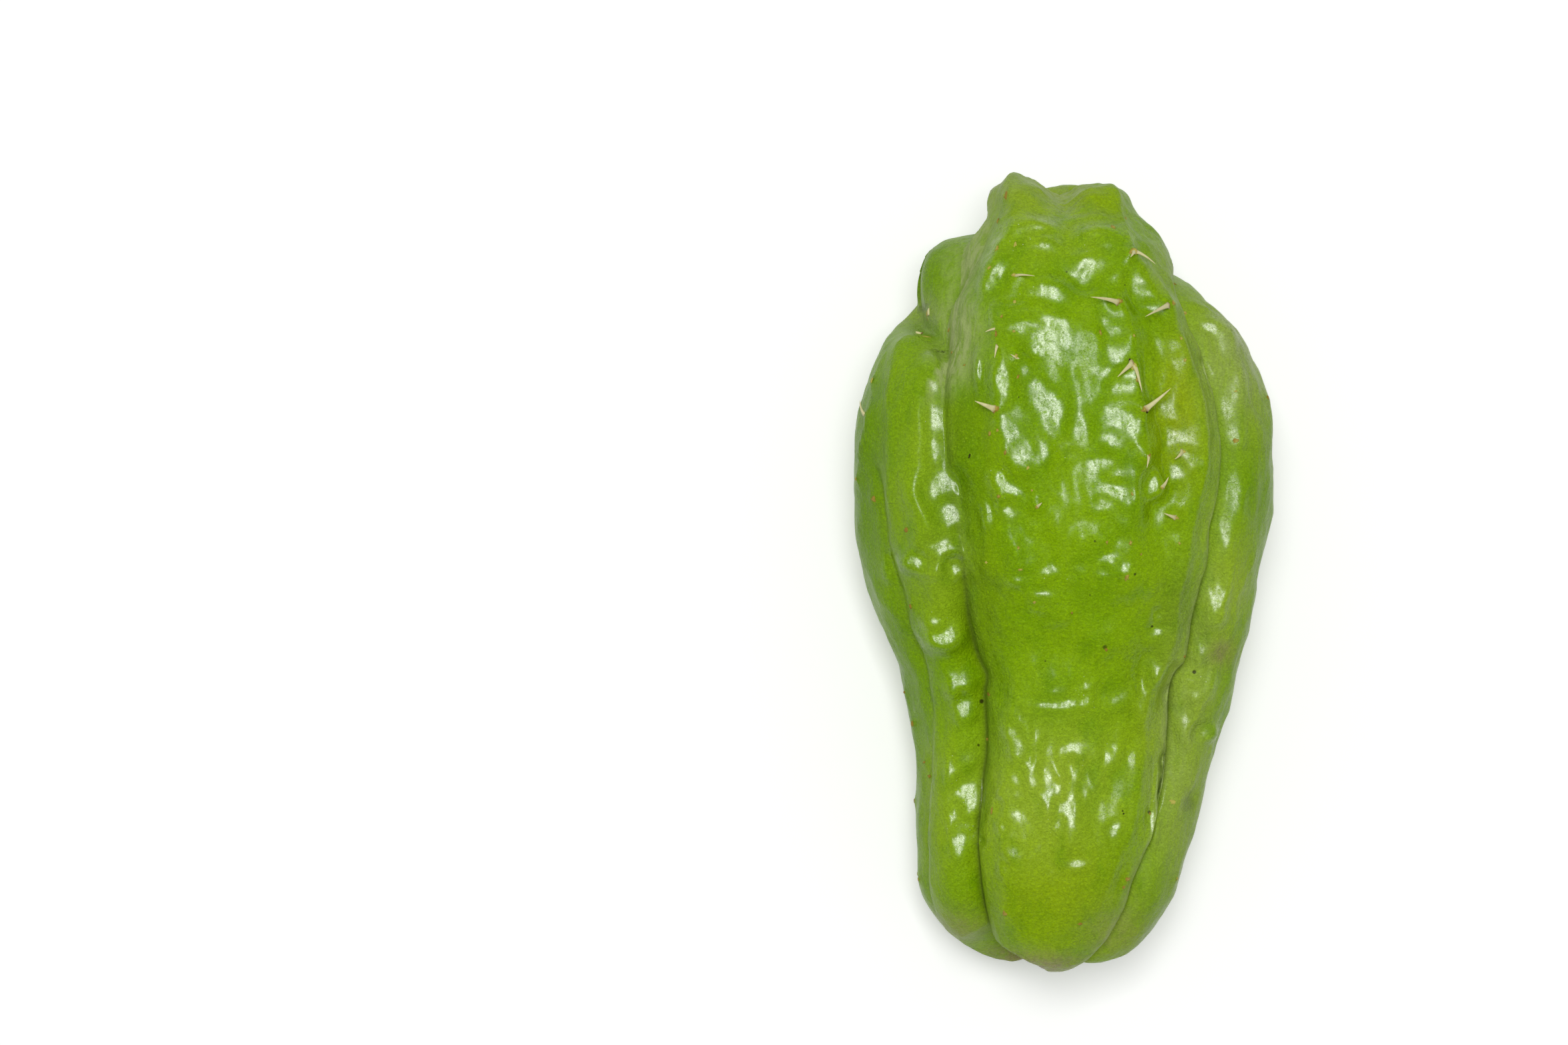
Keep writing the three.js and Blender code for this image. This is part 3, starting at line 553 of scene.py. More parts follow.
# Tan scabs on small warts, in rows along the lobes: x, y, reach across, reach along, brownness
scabs = {
    "placed": [
        (-9.2, 70, 0.6, 0.7, 0.8), (-11.4, 66, 0.5, 0.6, 0.6), (-11.5, 60.5, 0.5, 0.7, 0.5),
        (-8.2, 61.5, 0.45, 0.5, 0.2), (-13, 57, 0.5, 0.5, 0.5), (-8.6, 56, 0.6, 0.4, 0.3),
        (-8.7, 51.3, 0.4, 0.5, 0.3), (-10.9, 48.3, 0.35, 0.6, 0.6), (-8.7, 45.6, 0.4, 0.3, 0.4),
        (-11.8, 45, 0.3, 0.7, 0.7), (-8.3, 41, 0.6, 0.5, 0.4), (-8, 37.2, 0.35, 0.6, 0.7),
        (-12.2, 31.2, 0.8, 0.9, 0.6), (-11.9, 27.3, 0.35, 0.4, 0.5), (-13.5, 26.6, 0.5, 0.7, 0.6),
        (-10.3, 23.2, 0.35, 0.7, 0.7), (-6.2, 20.3, 0.4, 0.5, 0.3), (-11.9, 14.8, 0.35, 0.5, 0.6),
        (-5.5, 16, 0.4, 0.3, 0.4), (-4.5, 13, 0.5, 0.5, 0.4), (-8, 5.3, 0.4, 0.35, 0.5),
        (12, 67, 0.4, 0.4, 0.5), (9.3, 64.7, 0.5, 0.5, 0.5), (12.3, 59.4, 0.8, 0.7, 0.4),
        (10.6, 51.2, 0.8, 0.6, 0.6), (20.1, 50.6, 0.7, 0.6, 0.5), (7.4, 45.6, 0.3, 0.6, 0.6),
        (13.3, 44.7, 0.35, 0.35, 0.3), (13, 39, 0.9, 0.9, 0.2), (13.8, 36.6, 0.5, 0.7, 0.5),
        (15, 31, 0.8, 0.8, 0.5), (15.9, 22.5, 0.4, 0.8, 0.8), (13, 15.5, 0.3, 0.5, 0.5),
        (22.8, 23.3, 0.6, 0.5, 0.3), (19.1, 16.6, 0.5, 0.5, 0.3), (21.2, 11, 0.9, 0.5, 0.4),
        (8.5, 6.4, 0.3, 0.4, 0.6), (12.8, 6.4, 0.4, 0.5, 0.5), (22.3, 40, 0.35, 0.35, 0.4),
        (21.5, 44, 0.35, 0.4, 0.4), (21.8, 6.3, 0.35, 0.35, 0.4), (12, 0, 0.5, 0.8, 0.5),
        (-23.2, 43.5, 0.35, 0.35, 0.6), (-19, 40, 0.3, 0.3, 0.6), (-36, 14.3, 0.7, 0.6, 0.7),
        (8.3, -13.5, 0.45, 0.6, 0.9), (23.2, -15.2, 0.4, 0.4, 0.9), (-14.9, -23.2, 0.7, 0.4, 0.9),
        (-16, -31.5, 0.5, 0.35, 0.7), (22.1, -42.7, 0.6, 0.5, 0.2), (16.8, -44.7, 0.3, 0.35, 0.9),
        (12.8, -57, 0.8, 0.6, 0.6), (11.9, -58.6, 0.5, 0.4, 0.7), (3.5, -65.2, 0.6, 0.4, 0.8),
        (-10.4, -63, 0.8, 0.7, 0.6), (-13, -44, 0.4, 0.9, 0.6), (-14.3, 2.3, 0.4, 0.35, 0.2),
        (-7.5, 1.3, 0.5, 0.3, 0.4), (-5, -5, 0.35, 0.35, 0.4), (2, -7, 0.3, 0.3, 0.7),
        (14.8, 4.2, 0.3, 0.3, 0.6), (-28.2, 51.3, 1.2, 0.9, 0.4), (-25.2, 48.9, 0.9, 0.5, 0.6),
    ],
    # more of them, strewn over the sides and the underside
    "strewn": 46,
    "strewnOver": {"y": (-62, 66), "turn": (52, 308), "reach": (0.3, 0.7), "brown": (0.2, 0.9)},
    "height": 0.13,
    "spread": 0.8,
    "ragged": (-0.45, 0.4),  # how far the edge varies
    "lumpy": 0.3,            # and the height
    "rimBrowner": 0.35,
    "leastHeight": 0.05,     # above the floor
    "sides": 11,
    "rings": (0.4, 0.75, 1.0),
    "dome": (0.7, 1.0, 0.6, -0.45),  # height of the middle and of each ring, the last one in the skin
    "bump": 0.15,
    "crumbSize": 0.4,
    "straw": (186, 180, 84),
    "brown": (150, 124, 42),
}
# Prickles: x, y of the foot, how far the tip lies from it across, along and up, thickness
prickles = {
    "placed": [
        (10.5, 51, -5.3, 0.7, 1.6, 1.0), (19.4, 50.3, -5.0, -2.6, 1.6, 1.0),
        (13, 39.8, -3.0, -2.8, 1.3, 1.1), (13.1, 39.6, 1.3, -5.3, 1.2, 0.9),
        (15.1, 31, 4.5, 3.8, 1.7, 1.0), (-12.2, 31.2, -3.6, 1.4, 1.5, 1.1),
        (-8.5, 56, 3.5, -0.4, 1.2, 0.6), (12.3, 59.3, -1.0, -1.3, 0.8, 0.8),
        (12.5, 59.4, 3.4, -2.6, 0.9, 0.7), (22.8, 23.4, -1.7, -1.5, 0.9, 0.9),
        (19.1, 16.5, 1.0, 1.9, 0.9, 0.8), (21.3, 10.9, -2.4, 0.9, 0.8, 0.8),
        (-7.6, 40.3, -1.7, 1.0, 0.7, 0.6), (-11.9, 46, -1.8, -0.7, 0.7, 0.5),
        (-11.6, 43, -0.5, -2.5, 0.6, 0.6), (-4.6, 12.9, 0.9, 0.8, 0.5, 0.7),
        (15.8, 22.8, -0.5, -2.4, 0.6, 0.6), (-27.9, 51.4, -0.6, 1.9, 0.6, 1.0),
        (-29.6, 47.2, -0.9, 0.6, 0.6, 0.9),
    ],
    # y, turn and the rest, for those on the flanks
    "onFlanks": [
        (29.5, -73, -0.7, 2.8, 1.0, 0.9), (40, 122, -0.4, -4.4, 1.3, 1.0), (12, 121, -0.4, 4.4, 1.3, 1.0),
        (22, -128, 0.4, 4.4, 1.3, 1.0), (52, 120, -0.4, -3.2, 1.2, 0.8), (-6, 122, -0.4, 3.2, 1.1, 0.8),
        (3, -127, 0.4, 3.0, 1.1, 0.8), (-30, -126, 0.4, -3.0, 1.0, 0.8), (44, -124, 0.4, 3.4, 1.2, 0.9),
        (-34, 122, -0.4, 2.8, 1.0, 0.7), (62, 128, 0.5, 2.6, 1.2, 0.8), (60, -136, -0.5, 2.6, 1.2, 0.8),
    ],
    "radius": 0.52,
    "tipRadius": 0.02,
    "taper": 0.75,
    "flatness": 0.72,      # how thick it is for its width
    "flare": 0.2,          # how far the foot spreads beyond the radius
    "flareReach": 0.13,    # and up to which part of the length
    "uneven": (0.16, 0.5),  # how far the stalk and the foot are from round
    "bow": (0.28, 0.55),   # it bends where it is this far along and this far up
    "uprightFrom": 0.45,   # on skin at least this level, the tip's height counts straight up
    "buried": 0.5,
    "rings": 14,
    "sides": 12,
    "straw": (212, 206, 150),
    "fibre": (150, 160, 70),
    "fibreSize": 0.7,
    "foot": (132, 98, 42),
    "bump": 0.1,
}
skin = {
    "rings": 330,
    "ringEase": 0.15,   # draws the rings together in the middle of the length
    "columns": {"left": 92, "right": 62, "rightUnder": 46, "under": 46, "leftUnder": 54},
    "crowding": 0.35,   # draws the columns towards the furrows
    "creaseWidth": 0.5,
    "leastCreaseShade": 0.12,  # how dark the painted shade on a furrow's bottom line is where it is palest
    # where along each furrow the painted shade on its bottom line begins, and where it is fully dark
    "creaseFrom": {"left": (12, -8), "shoulder": (-20, -30), "right": (26, 2), "rightUnder": (60, 20),
                   "under": (60, 20), "leftUnder": (60, 20)},
    # how fuzzy each furrow's flanks of smaller and of larger turns are, and how far from it; the pale
    # fuzz also stands in as painted sheen on the steep flanks
    "fuzzBeside": {"left": (0.0, 0.1, 2, 3), "shoulder": (0.45, 1.0, 4, 10), "right": (0.75, 0.1, 3.8, 3),
                   "rightUnder": (0.4, 0.2, 3.2, 3.2), "under": (0.2, 0.2, 3.2, 3.2),
                   "leftUnder": (0.2, 0.4, 3.2, 3.2)},
    "fuzzUnder": (0.6, 0.3),  # its share on upright skin, and the least where the flanks turn under
    # gloss: of the flanks, added on the upper side, added on a facet; then what furrows and fuzz take
    "flankGloss": 0.06,
    "upperGloss": 0.13,
    "upperFrom": (0.5, 0.35),  # how level the skin is where that begins, and within what it is full
    "facetGloss": 0.62,
    "furrowDulls": 0.85,
    "dullDepth": 3,            # of a furrow, where it takes it all
    "fuzzDulls": 0.7,
    "toneShift": (2.3, 28),  # the high middle shows this much further right than it lies, up to this x
    "toneFloor": 20,         # the soft tones lie above this height
}


def onBody(phi, turn, *rest):
    # y, turn in degrees and the rest, as the body's own features are given
    return (middle + halfLength * math.cos(phi), math.degrees(turn), *rest)


chance = np.random.default_rng(7)
scabSpots = [(*spotAt(x, y), across, along, brown) for x, y, across, along, brown in scabs["placed"]]
over = scabs["strewnOver"]
for _ in range(scabs["strewn"]):
    scabSpots.append((float(latitude(chance.uniform(*over["y"]))),
                      math.radians(chance.uniform(*over["turn"])),
                      *chance.uniform(*over["reach"], 2), chance.uniform(*over["brown"])))
prickleSpots = [(*spotAt(x, y), *rest) for x, y, *rest in prickles["placed"]]
prickleSpots += [(float(latitude(y)), math.radians(turn), *rest)
                 for y, turn, *rest in prickles["onFlanks"]]
low, added = relief["scabWart"]
warts = [(bodyPoints(phi, turn), low + added * along) for phi, turn, across, along, brown in scabSpots]
warts += [(bodyPoints(spot[0], spot[1]), relief["prickleWart"]) for spot in prickleSpots]
tracedRibs = [traced(([onBody(*spotAt(x, y), high) for x, y, high in line], *rest))
              for line, *rest in relief["ribs"]]
hollowSpots = [(bodyPoints(*spotAt(x, y)), *rest) for x, y, *rest in relief["hollows"]]


# The furrows at points of the body: depth, distance of the nearest, painted shade along the bottom line,
# fuzz of the flanks with its painted sheen
def furrowsAt(points, normals, turn):
    cubed = np.zeros(len(points))
    creaseShade = np.zeros(len(points))
    fuzzAndSheen = np.zeros(len(points))
    nearest = np.full(len(points), 1e9)
    for name, feature in tracedFurrows.items():
        depth, distance, side = strength(feature, points, turn)
        cubed += np.maximum(depth, 0) ** 3
        nearest = np.minimum(nearest, distance)
        begins, full = skin["creaseFrom"][name]
        shadeAlong = np.clip((begins - points[:, 1]) / (begins - full), skin["leastCreaseShade"], 1)
        creaseShade = np.maximum(creaseShade, shadeAlong * np.exp(-(distance / skin["creaseWidth"]) ** 2))
        smaller, larger, smallerWidth, largerWidth = skin["fuzzBeside"][name]
        weight = np.where(side >= 0, larger, smaller)
        width = np.where(side >= 0, largerWidth, smallerWidth)
        fuzzAndSheen = np.maximum(fuzzAndSheen, weight * np.exp(-((distance / width) ** 4)))
    upright, under = skin["fuzzUnder"]
    fuzzAndSheen *= np.clip(upright + normals[:, 2], under, 1)
    return np.cbrt(cubed), nearest, creaseShade, fuzzAndSheen


# How high the furrows, folds, ridges, swellings and the stem cavity leave points of the body
def formsAt(points, turn, furrowed):
    height = -furrowed
    for feature in tracedFolds:
        height -= strength(feature, points, turn)[0]
    for feature in tracedRidges:
        height += strength(feature, points, turn)[0]
    for y, at, high, along, around, edge in body["swellings"]:
        away = points - bodyPoints(latitude(y), np.radians(at))
        spread = (away[:, 1] / along) ** 2 + (away[:, 0] ** 2 + away[:, 2] ** 2) / around**2
        height += high * np.maximum(1 - spread, 0) ** edge
    radius, depth = body["stemCavity"]
    fromCore = np.hypot(points[:, 0], points[:, 2] - coreHeight(np.pi))
    return height - depth * np.exp(-((fromCore / radius) ** 2)) * (points[:, 1] < 0)


# The finer relief: what the facets flatten, and what lies on them too
def reliefAt(points, turn, nearest, fuzzAndSheen):
    near, far, least = relief["furrowCalm"]
    calm = least + (1 - least) * np.clip((nearest - near) / far, 0, 1)
    finer = np.zeros(len(points))
    for spot, deep, reach in hollowSpots:
        width = reach * relief["hollowSpread"]
        finer -= deep * np.exp(-np.sum((points - spot) ** 2, axis=1) / (2 * width**2))
    for feature in tracedRibs:
        finer += strength(feature, points, turn)[0]
    for spot, high in warts:
        finer += high * np.exp(-np.sum((points - spot) ** 2, axis=1) / relief["wartSpread"])
    fromY, length = relief["stemCalm"]
    flat, slope = relief["flankCalm"]
    calmer = np.clip((points[:, 1] - fromY) / length, relief["leastCalm"], 1)
    calmer *= np.clip(flat - slope * np.abs(turn), relief["leastCalm"], 1)
    coarse = waves(points, **relief["lumps"]) + waves(points, **relief["dimples"])
    bent = points + waves(points, **relief["bends"])[:, None]
    fibre = 1 - 2 * np.abs(waves(bent, **relief["strands"]))
    high, bare = relief["strandHeight"]
    finest = calmer * waves(points, **relief["ripples"]) + high * fibre * (bare + fuzzAndSheen)
    return (finer + calmer * coarse) * calm, finest * calm


# Flattens the points at the facets, and says how much of a facet each one is
def flatten(points, nearest, spots):
    top = np.zeros(len(points))
    acrossLean, alongLean, leanChange = relief["lean"]
    full, edge = relief["facetEdge"]
    begins, room = relief["facetRoom"]
    for spot, across, along, flat in spots:
        away = points - spot
        spread = (away[:, 0] / across) ** 2 + (away[:, 1] / along) ** 2
        share = np.minimum(full * flat * np.exp(-((spread / edge) ** 2)), 1)
        share *= np.abs(away[:, 2]) < relief["facetDepth"]
        if spot[0] > 0:  # the right furrow stays open between them
            share *= np.clip((nearest - begins) / room, 0, 1)
        level = away[:, 0] * acrossLean + away[:, 1] * (alongLean + leanChange * spot[1])
        points[:, 2] += share * (level - away[:, 2])
        top = np.maximum(top, share)
    return top


# The skin's points at latitudes and turns, before the fruit is settled, their normals and masks
def skinPoints(phi, turn, facets=()):
    phi = np.atleast_1d(phi)
    turn = np.atleast_1d(turn)
    points = bodyPoints(phi, turn)
    normals = bodyNormals(phi, turn)
    furrowed, nearest, creaseShade, fuzzAndSheen = furrowsAt(points, normals, turn)
    flattened, finest = reliefAt(points, turn, nearest, fuzzAndSheen)
    height = formsAt(points, turn, furrowed) + flattened
    points = points + normals * height[:, None]
    top = flatten(points, nearest, facets)
    points += normals * finest[:, None]
    level, within = skin["upperFrom"]
    upper = np.clip((normals[:, 2] - level) / within, 0, 1)
    valley = np.clip(furrowed / skin["dullDepth"], 0, 1)
    gloss = skin["flankGloss"] + skin["upperGloss"] * upper
    gloss = gloss * (1 - skin["furrowDulls"] * valley) * (1 - skin["fuzzDulls"] * fuzzAndSheen)
    return points, normals, {"creaseShade": creaseShade, "fuzzAndSheen": fuzzAndSheen, "gloss": gloss + skin["facetGloss"] * top}


# Skin points of places seen from above, moved until the raised or sunken skin shows them there
def seenSpots(entries):
    eye = np.array(studio["eye"])
    wanted = np.array([entry[:2] for entry in entries], float)
    aim = wanted.copy()
    for _ in range(3):
        phi, turn = np.array([spotAt(x, y) for x, y in aim]).T
        found = skinPoints(phi, turn)[0]
        share = (eye[2] - body["measuredAt"]) / (eye[2] - found[:, 2])
        seen = eye[:2] + (found[:, :2] - eye[:2]) * share[:, None]
        aim += np.clip(wanted - seen, -1.5, 1.5)
    return [(spot, *entry[2:]) for spot, entry in zip(found, entries)]


facetSpots = seenSpots(relief["facets"])
print(f"{len(facetSpots)} facets, {len(scabSpots)} scabs and {len(prickleSpots)} prickles placed")

# The lines that the skin's columns follow. The one of the left furrow goes round the knob
followed = {name: smoothPath(body["furrows"][name][0]) for name in skin["columns"]}
besideKnob = smoothPath(body["furrows"]["shoulder"][0])
onward = followed["left"][followed["left"][:, 0] < besideKnob[-1, 0]]
followed["left"] = np.vstack([besideKnob, onward])


# Turns of each ring's points: the columns run along the furrows, which keeps these crisp
def columnTurns(y):
    names = list(skin["columns"])
    edges = [turnAlong(followed[name], y) for name in names]
    turns = []
    for k, name in enumerate(names):
        span = (edges[(k + 1) % len(names)] - edges[k]) % 360
        share = np.arange(skin["columns"][name]) / skin["columns"][name]
        eased = share - skin["crowding"] * np.sin(2 * np.pi * share) / (2 * np.pi)
        turns.append(edges[k][:, None] + span[:, None] * eased)
    return np.radians(np.concatenate(turns, axis=1))


def makePiece(name, points, faces, masks, material):
    mesh = bpy.data.meshes.new(name)
    mesh.from_pydata((points * metre).tolist(), [], faces)
    for mask, values in masks.items():
        mesh.attributes.new(mask, "FLOAT", "POINT").data.foreach_set("value", values.astype(np.float32))
    mesh.shade_smooth()
    mesh.materials.append(material)
    piece = bpy.data.objects.new(name, mesh)
    bpy.context.scene.collection.objects.link(piece)
    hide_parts("fruit")
    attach(piece, "root")
    print(f"{name}: {len(points)} points, {len(faces)} faces")


# Soft areas of another tone: x, y, reach across, reach along, how strong
tones = {
    # painted shade: darker green on the slopes beside the furrows, where shade falls
    "paintedShade": [(-18, 22, 4.5, 20, 0.75), (-15, -4, 4, 14, 0.5), (21, -8, 3.5, 10, 1),
              (-8, 28, 6, 16, 0.2)],
    "yellow": [(21, 30, 5, 14, 0.9), (19, 56, 5, 6, 0.3), (0, -55, 14, 14, 0.55), (0, 70, 12, 5, 0.7),
               (16, -26, 5, 14, 0.35), (-14, -5, 5, 16, 0.25)],
    "cool": [(-37, 15, 5, 24, 0.9), (-30, -35, 4, 40, 0.8), (-24, 20, 6, 26, 0.25), (-22, 57, 7, 8, 0.7),
             (37, 20, 5, 30, 0.5), (-26, -50, 4, 20, 0.5), (27, -52, 8, 14, 0.4)],
    # painted sheen: lighter patches where the skin's broad shine lies, on the neck and the lobes
    "light": [(-2, -38, 14, 13, 1), (-20, -42, 5, 16, 0.5), (23, -30, 7, 24, 1), (-25, 26, 6, 20, 0.35),
              (31, 40, 8, 16, 1), (-1, 65, 10, 8, 0.5), (29, -1, 6, 13, 1), (-22, 2, 6, 11, 0.5),
              (2, -56, 9, 9, 0.1)],
    # partly painted reflection: pale grey haze on steep flanks and a light rim at the left lobe's top,
    # partly the skin's pale bloom
    "paleSheen": [(-10, 73, 4, 4, 0.8), (22, 58, 4, 5, 0.3), (24, -40, 5, 26, 0.5), (27, -20, 3, 18, 0.4),
             (-25, 49, 5, 3, 0.7), (31, 42, 7, 12, 0.9)],
    "ashen": [(-3, -72, 9, 3, 0.9), (12, -66, 7, 6, 0.4), (-18, -66, 6, 4, 0.5),
              (28.5, -14, 2.6, 2.6, 0.7)],
}


def toneMask(points, areas):
    mask = np.zeros(len(points))
    shift, reach = skin["toneShift"]
    for x, y, across, along, strong in areas:
        away = points[:, :2] - np.array([x - shift * (abs(x) < reach), y])
        spread = (away[:, 0] / across) ** 2 + (away[:, 1] / along) ** 2
        mask = np.maximum(mask, strong * np.exp(-spread) * (points[:, 2] > skin["toneFloor"]))
    return mask


def makeSkin(material):
    share = np.linspace(0, 1, skin["rings"] + 1)[1:-1]
    rings = np.pi * (share + skin["ringEase"] * np.sin(2 * np.pi * share) / (2 * np.pi))
    turns = columnTurns(middle + halfLength * np.cos(rings))
    ringCount, columnCount = turns.shape
    phi = np.append(np.repeat(rings, columnCount), [1e-4, np.pi - 1e-4])
    turn = np.append(turns.ravel(), [0, 0])
    points, _, masks = skinPoints(phi, turn, facetSpots)
    lowest = points[:, 2].min() + body["restingDepth"]
    points[:, 2] = np.maximum(points[:, 2] - lowest, 0)
    for tone, areas in tones.items():
        masks[tone] = toneMask(points, areas)
    index = np.arange(ringCount * columnCount).reshape(ringCount, columnCount)
    across = np.roll(index, -1, axis=1)
    faces = np.stack([index[:-1], index[1:], across[1:], across[:-1]], -1).reshape(-1, 4).tolist()
    blossomPole = ringCount * columnCount
    for column in range(columnCount):
        following = (column + 1) % columnCount
        faces.append((blossomPole, column, following))
        faces.append((blossomPole + 1, index[-1, following], index[-1, column]))
    makePiece("skin", points, faces, masks, material)
    return lowest


# The rind's colours as picked on screen, and its gloss and fine texture
rind = {
    "green": (117, 159, 0),
    "bright": (130, 169, 2),
    "dark": (98, 142, 0),
    "yellow": (148, 166, 2),
    # painted sheen
    "light": (152, 180, 44),
    "cool": (104, 145, 4),
    # painted shade
    "paintedShade": (98, 135, 0),
    # pale haze, partly painted reflection
    "paleSheen": (146, 166, 84),
    # the fuzz's pale grey, partly painted sheen on steep flanks
    "fuzzAndSheen": (168, 182, 118),
    "ashen": (150, 140, 92),
    # painted shade along the bottoms of the furrows
    "creaseShade": (56, 72, 10),
    "pore": (150, 186, 30),
    # painted glints on the glossy tops
    "grain": (222, 232, 196),
    # sizes of its fine patterns
    "patchSize": 11,
    "blotchSize": 4.8,
    "threadSize": 1.1,
    "glintSpacing": 1.1,
    "wrinkleSize": 1.1,
    "dentSize": 1.2,
    "gritSize": 0.6,
    "crinkleSize": 0.55,
    "poreSize": 0.45,
    "roughness": 0.3,
    "index": 1.14,         # how strongly it bends light, and how strongly the wax on it does
    "waxIndex": 1.5,
    "waxRoughness": 0.25,
    "bump": 0.25,
}
# Dark flecks and soft bruises: x, y, radius, how dark
flecks = {
    "placed": [
        (-17.15, 22.75, 0.2, 0.95), (-17.2, 22.5, 0.24, 0.95), (-17.3, 22.2, 0.2, 0.95),
        (6.3, 6.5, 0.22, 0.8), (13.8, 0.3, 0.3, 0.8), (17.1, -9.5, 0.28, 0.8), (26.3, -18.7, 0.45, 0.85),
        (11.5, -44.1, 0.22, 0.9), (11.7, -44.6, 0.22, 0.9), (24.4, -42.9, 1.8, 0.22),
        (-14.9, -23.4, 0.5, 0.9), (-15.2, -31.6, 0.3, 0.8), (8.2, -13.4, 0.5, 0.7), (-8, 33.5, 0.16, 0.8),
        (1, 57, 0.2, 0.7), (12, 54.6, 0.2, 0.6), (-27.4, 49.6, 0.9, 0.3), (-3, -16, 0.2, 0.7),
        (5.4, -3.6, 0.2, 0.6), (16.6, -44.4, 0.4, 0.8), (29.4, -14.6, 1.8, 0.12),
    ],
    "tone": (44, 40, 14),
    "from": (20, 30),  # the height at which they begin to show, and do so fully
}
fleckSpots = [((spot[0] * metre, spot[1] * metre, 0.0), radius * metre, dark)
              for spot, radius, dark in seenSpots(flecks["placed"])]


def makeRind():
    material, wire = newMaterial("rind")
    place = wire.node("TexCoord", give="Object")
    drawn = place.scaled((1.0, 0.55, 1.0))      # what follows the fruit's length
    fibres = place.scaled((1.0, 0.22, 1.0))

    def mask(name):
        return wire.node("Attribute", {"attribute_name": name}, give="Fac")

    creaseShade = mask("creaseShade")
    fuzzAndSheen = mask("fuzzAndSheen")
    gloss = mask("gloss")
    patches = drawn.grain(rind["patchSize"], roughness=0.55)
    blotches = drawn.plus((0.3, 0.1, 0.2)).grain(rind["blotchSize"])
    threads = fibres.grain(rind["threadSize"], twist=0.4)
    crinkles = place.scaled((1.0, 1.5, 1.0)).grain(rind["crinkleSize"], roughness=0.65, twist=1.2)
    pores = place.cells(rind["poreSize"])
    broken = threads.between(0.3, 0.6, 0.5, 1.0)
    shares = {
        "cool": mask("cool"),
        "yellow": mask("yellow") * 0.8,
        # painted shade beside the furrows
        "paintedShade": mask("paintedShade"),
        # painted sheen, broken up by the patches
        "light": mask("light") * patches.between(0.3, 0.6, 0.75, 1.0),
        "dark": blotches.between(0.5, 0.72) * 0.45,
        # pale haze, partly painted reflection
        "paleSheen": mask("paleSheen") * broken,
        "ashen": mask("ashen") * broken,
        "pore": (1 - pores.between(0.1, 0.42)) * 0.35,
    }
    colour = patches.between(0.36, 0.64).blend(rind["green"], rind["bright"])
    for tone, share in shares.items():
        colour = colour.toward(rind[tone], share)
    grime = crinkles.between(0.3, 0.7, 0.78, 1.18)
    grey = wire.node("CombineColor", sockets={0: grime, 1: grime, 2: grime})
    colour = colour.toward(grey, 1.0, "MULTIPLY")
    # fuzz: partly the real fuzz, partly painted sheen, a pale grey haze on steep flanks beside the
    # furrows, more on upright skin
    colour = colour.toward(rind["fuzzAndSheen"], fuzzAndSheen * threads.between(0.35, 0.62, 0.35, 0.95))
    # painted shade: the furrows' bottom lines darkened where shade falls in them
    colour = colour.toward(rind["creaseShade"], creaseShade * 0.75)
    flat = place.scaled((1.0, 1.0, 0.0))
    marked = 0.0
    for spot, radius, dark in fleckSpots:
        marked = flat.awayFrom(spot).between(0.5 * radius, 1.1 * radius, dark, 0.0).most(marked)
    showing = wire.node("SeparateXYZ", sockets={0: place}, give="Z")
    showing = showing.between(*(height * metre for height in flecks["from"]))
    colour = colour.toward(flecks["tone"], marked * showing)
    # painted glints: tiny bright dots strewn over the glossy tops
    paintedGlints = (1 - place.cells(rind["glintSpacing"]).between(0.04, 0.12)) * patches.between(0.5, 0.62)
    colour = colour.toward(rind["grain"], paintedGlints * gloss.between(0.15, 0.35) * 0.7)

    wrinkles = place.scaled((1.0, 0.75, 1.0)).grain(rind["wrinkleSize"], 2.5, 0.55, twist=0.8)
    dots = pores.between(0.1, 0.7)
    height = wrinkles + 0.14 * dots + 0.2 * place.grain(rind["gritSize"], 2.0) + 0.5 * crinkles
    bumped = wire.node("Bump", sockets={"Distance": rind["bump"] * metre, "Height": height})
    rough = rind["roughness"] + 0.16 * (wrinkles - 0.5) + 0.25 * fuzzAndSheen + 0.2 * creaseShade
    # the shine lies on the tops, broken up by dents and fine wrinkles, and sparkles between the tops
    dents = drawn.grain(rind["dentSize"], twist=0.5).between(0.36, 0.56, 0.2, 1.1)
    folded = (crinkles - 0.5).size()
    wax = gloss * dents * folded.between(0.0, 0.1, 1.25, 0.4)
    wax = wax + gloss.between(0.1, 0.18, 0.0, 0.5) * folded.between(0.0, 0.035, 1.0, 0.0)
    finishMaterial(wire, wire.node("BsdfPrincipled", sockets={
        "Base Color": colour, "Roughness": rough, "IOR": rind["index"], "Normal": bumped,
        "Coat Weight": wax, "Coat Roughness": rind["waxRoughness"], "Coat IOR": rind["waxIndex"]}))
    return material


def makePrickleStraw():
    material, wire = newMaterial("prickleStraw")
    place = wire.node("TexCoord", give="Object")
    tip = wire.node("Attribute", {"attribute_name": "tip"}, give="Fac")
    lines = place.grain(prickles["fibreSize"])
    dry = (tip + 0.25 * (lines - 0.5)).between(0.02, 0.22)
    colour = dry.blend(prickles["foot"], prickles["straw"])
    colour = colour.toward(prickles["fibre"], lines.between(0.5, 0.75) * 0.4)
    bumped = wire.node("Bump", sockets={"Distance": prickles["bump"] * metre, "Height": lines})
    finishMaterial(wire, wire.node("BsdfPrincipled", sockets={
        "Base Color": colour, "Roughness": 0.42 + 0.15 * lines, "Normal": bumped}))
    return material


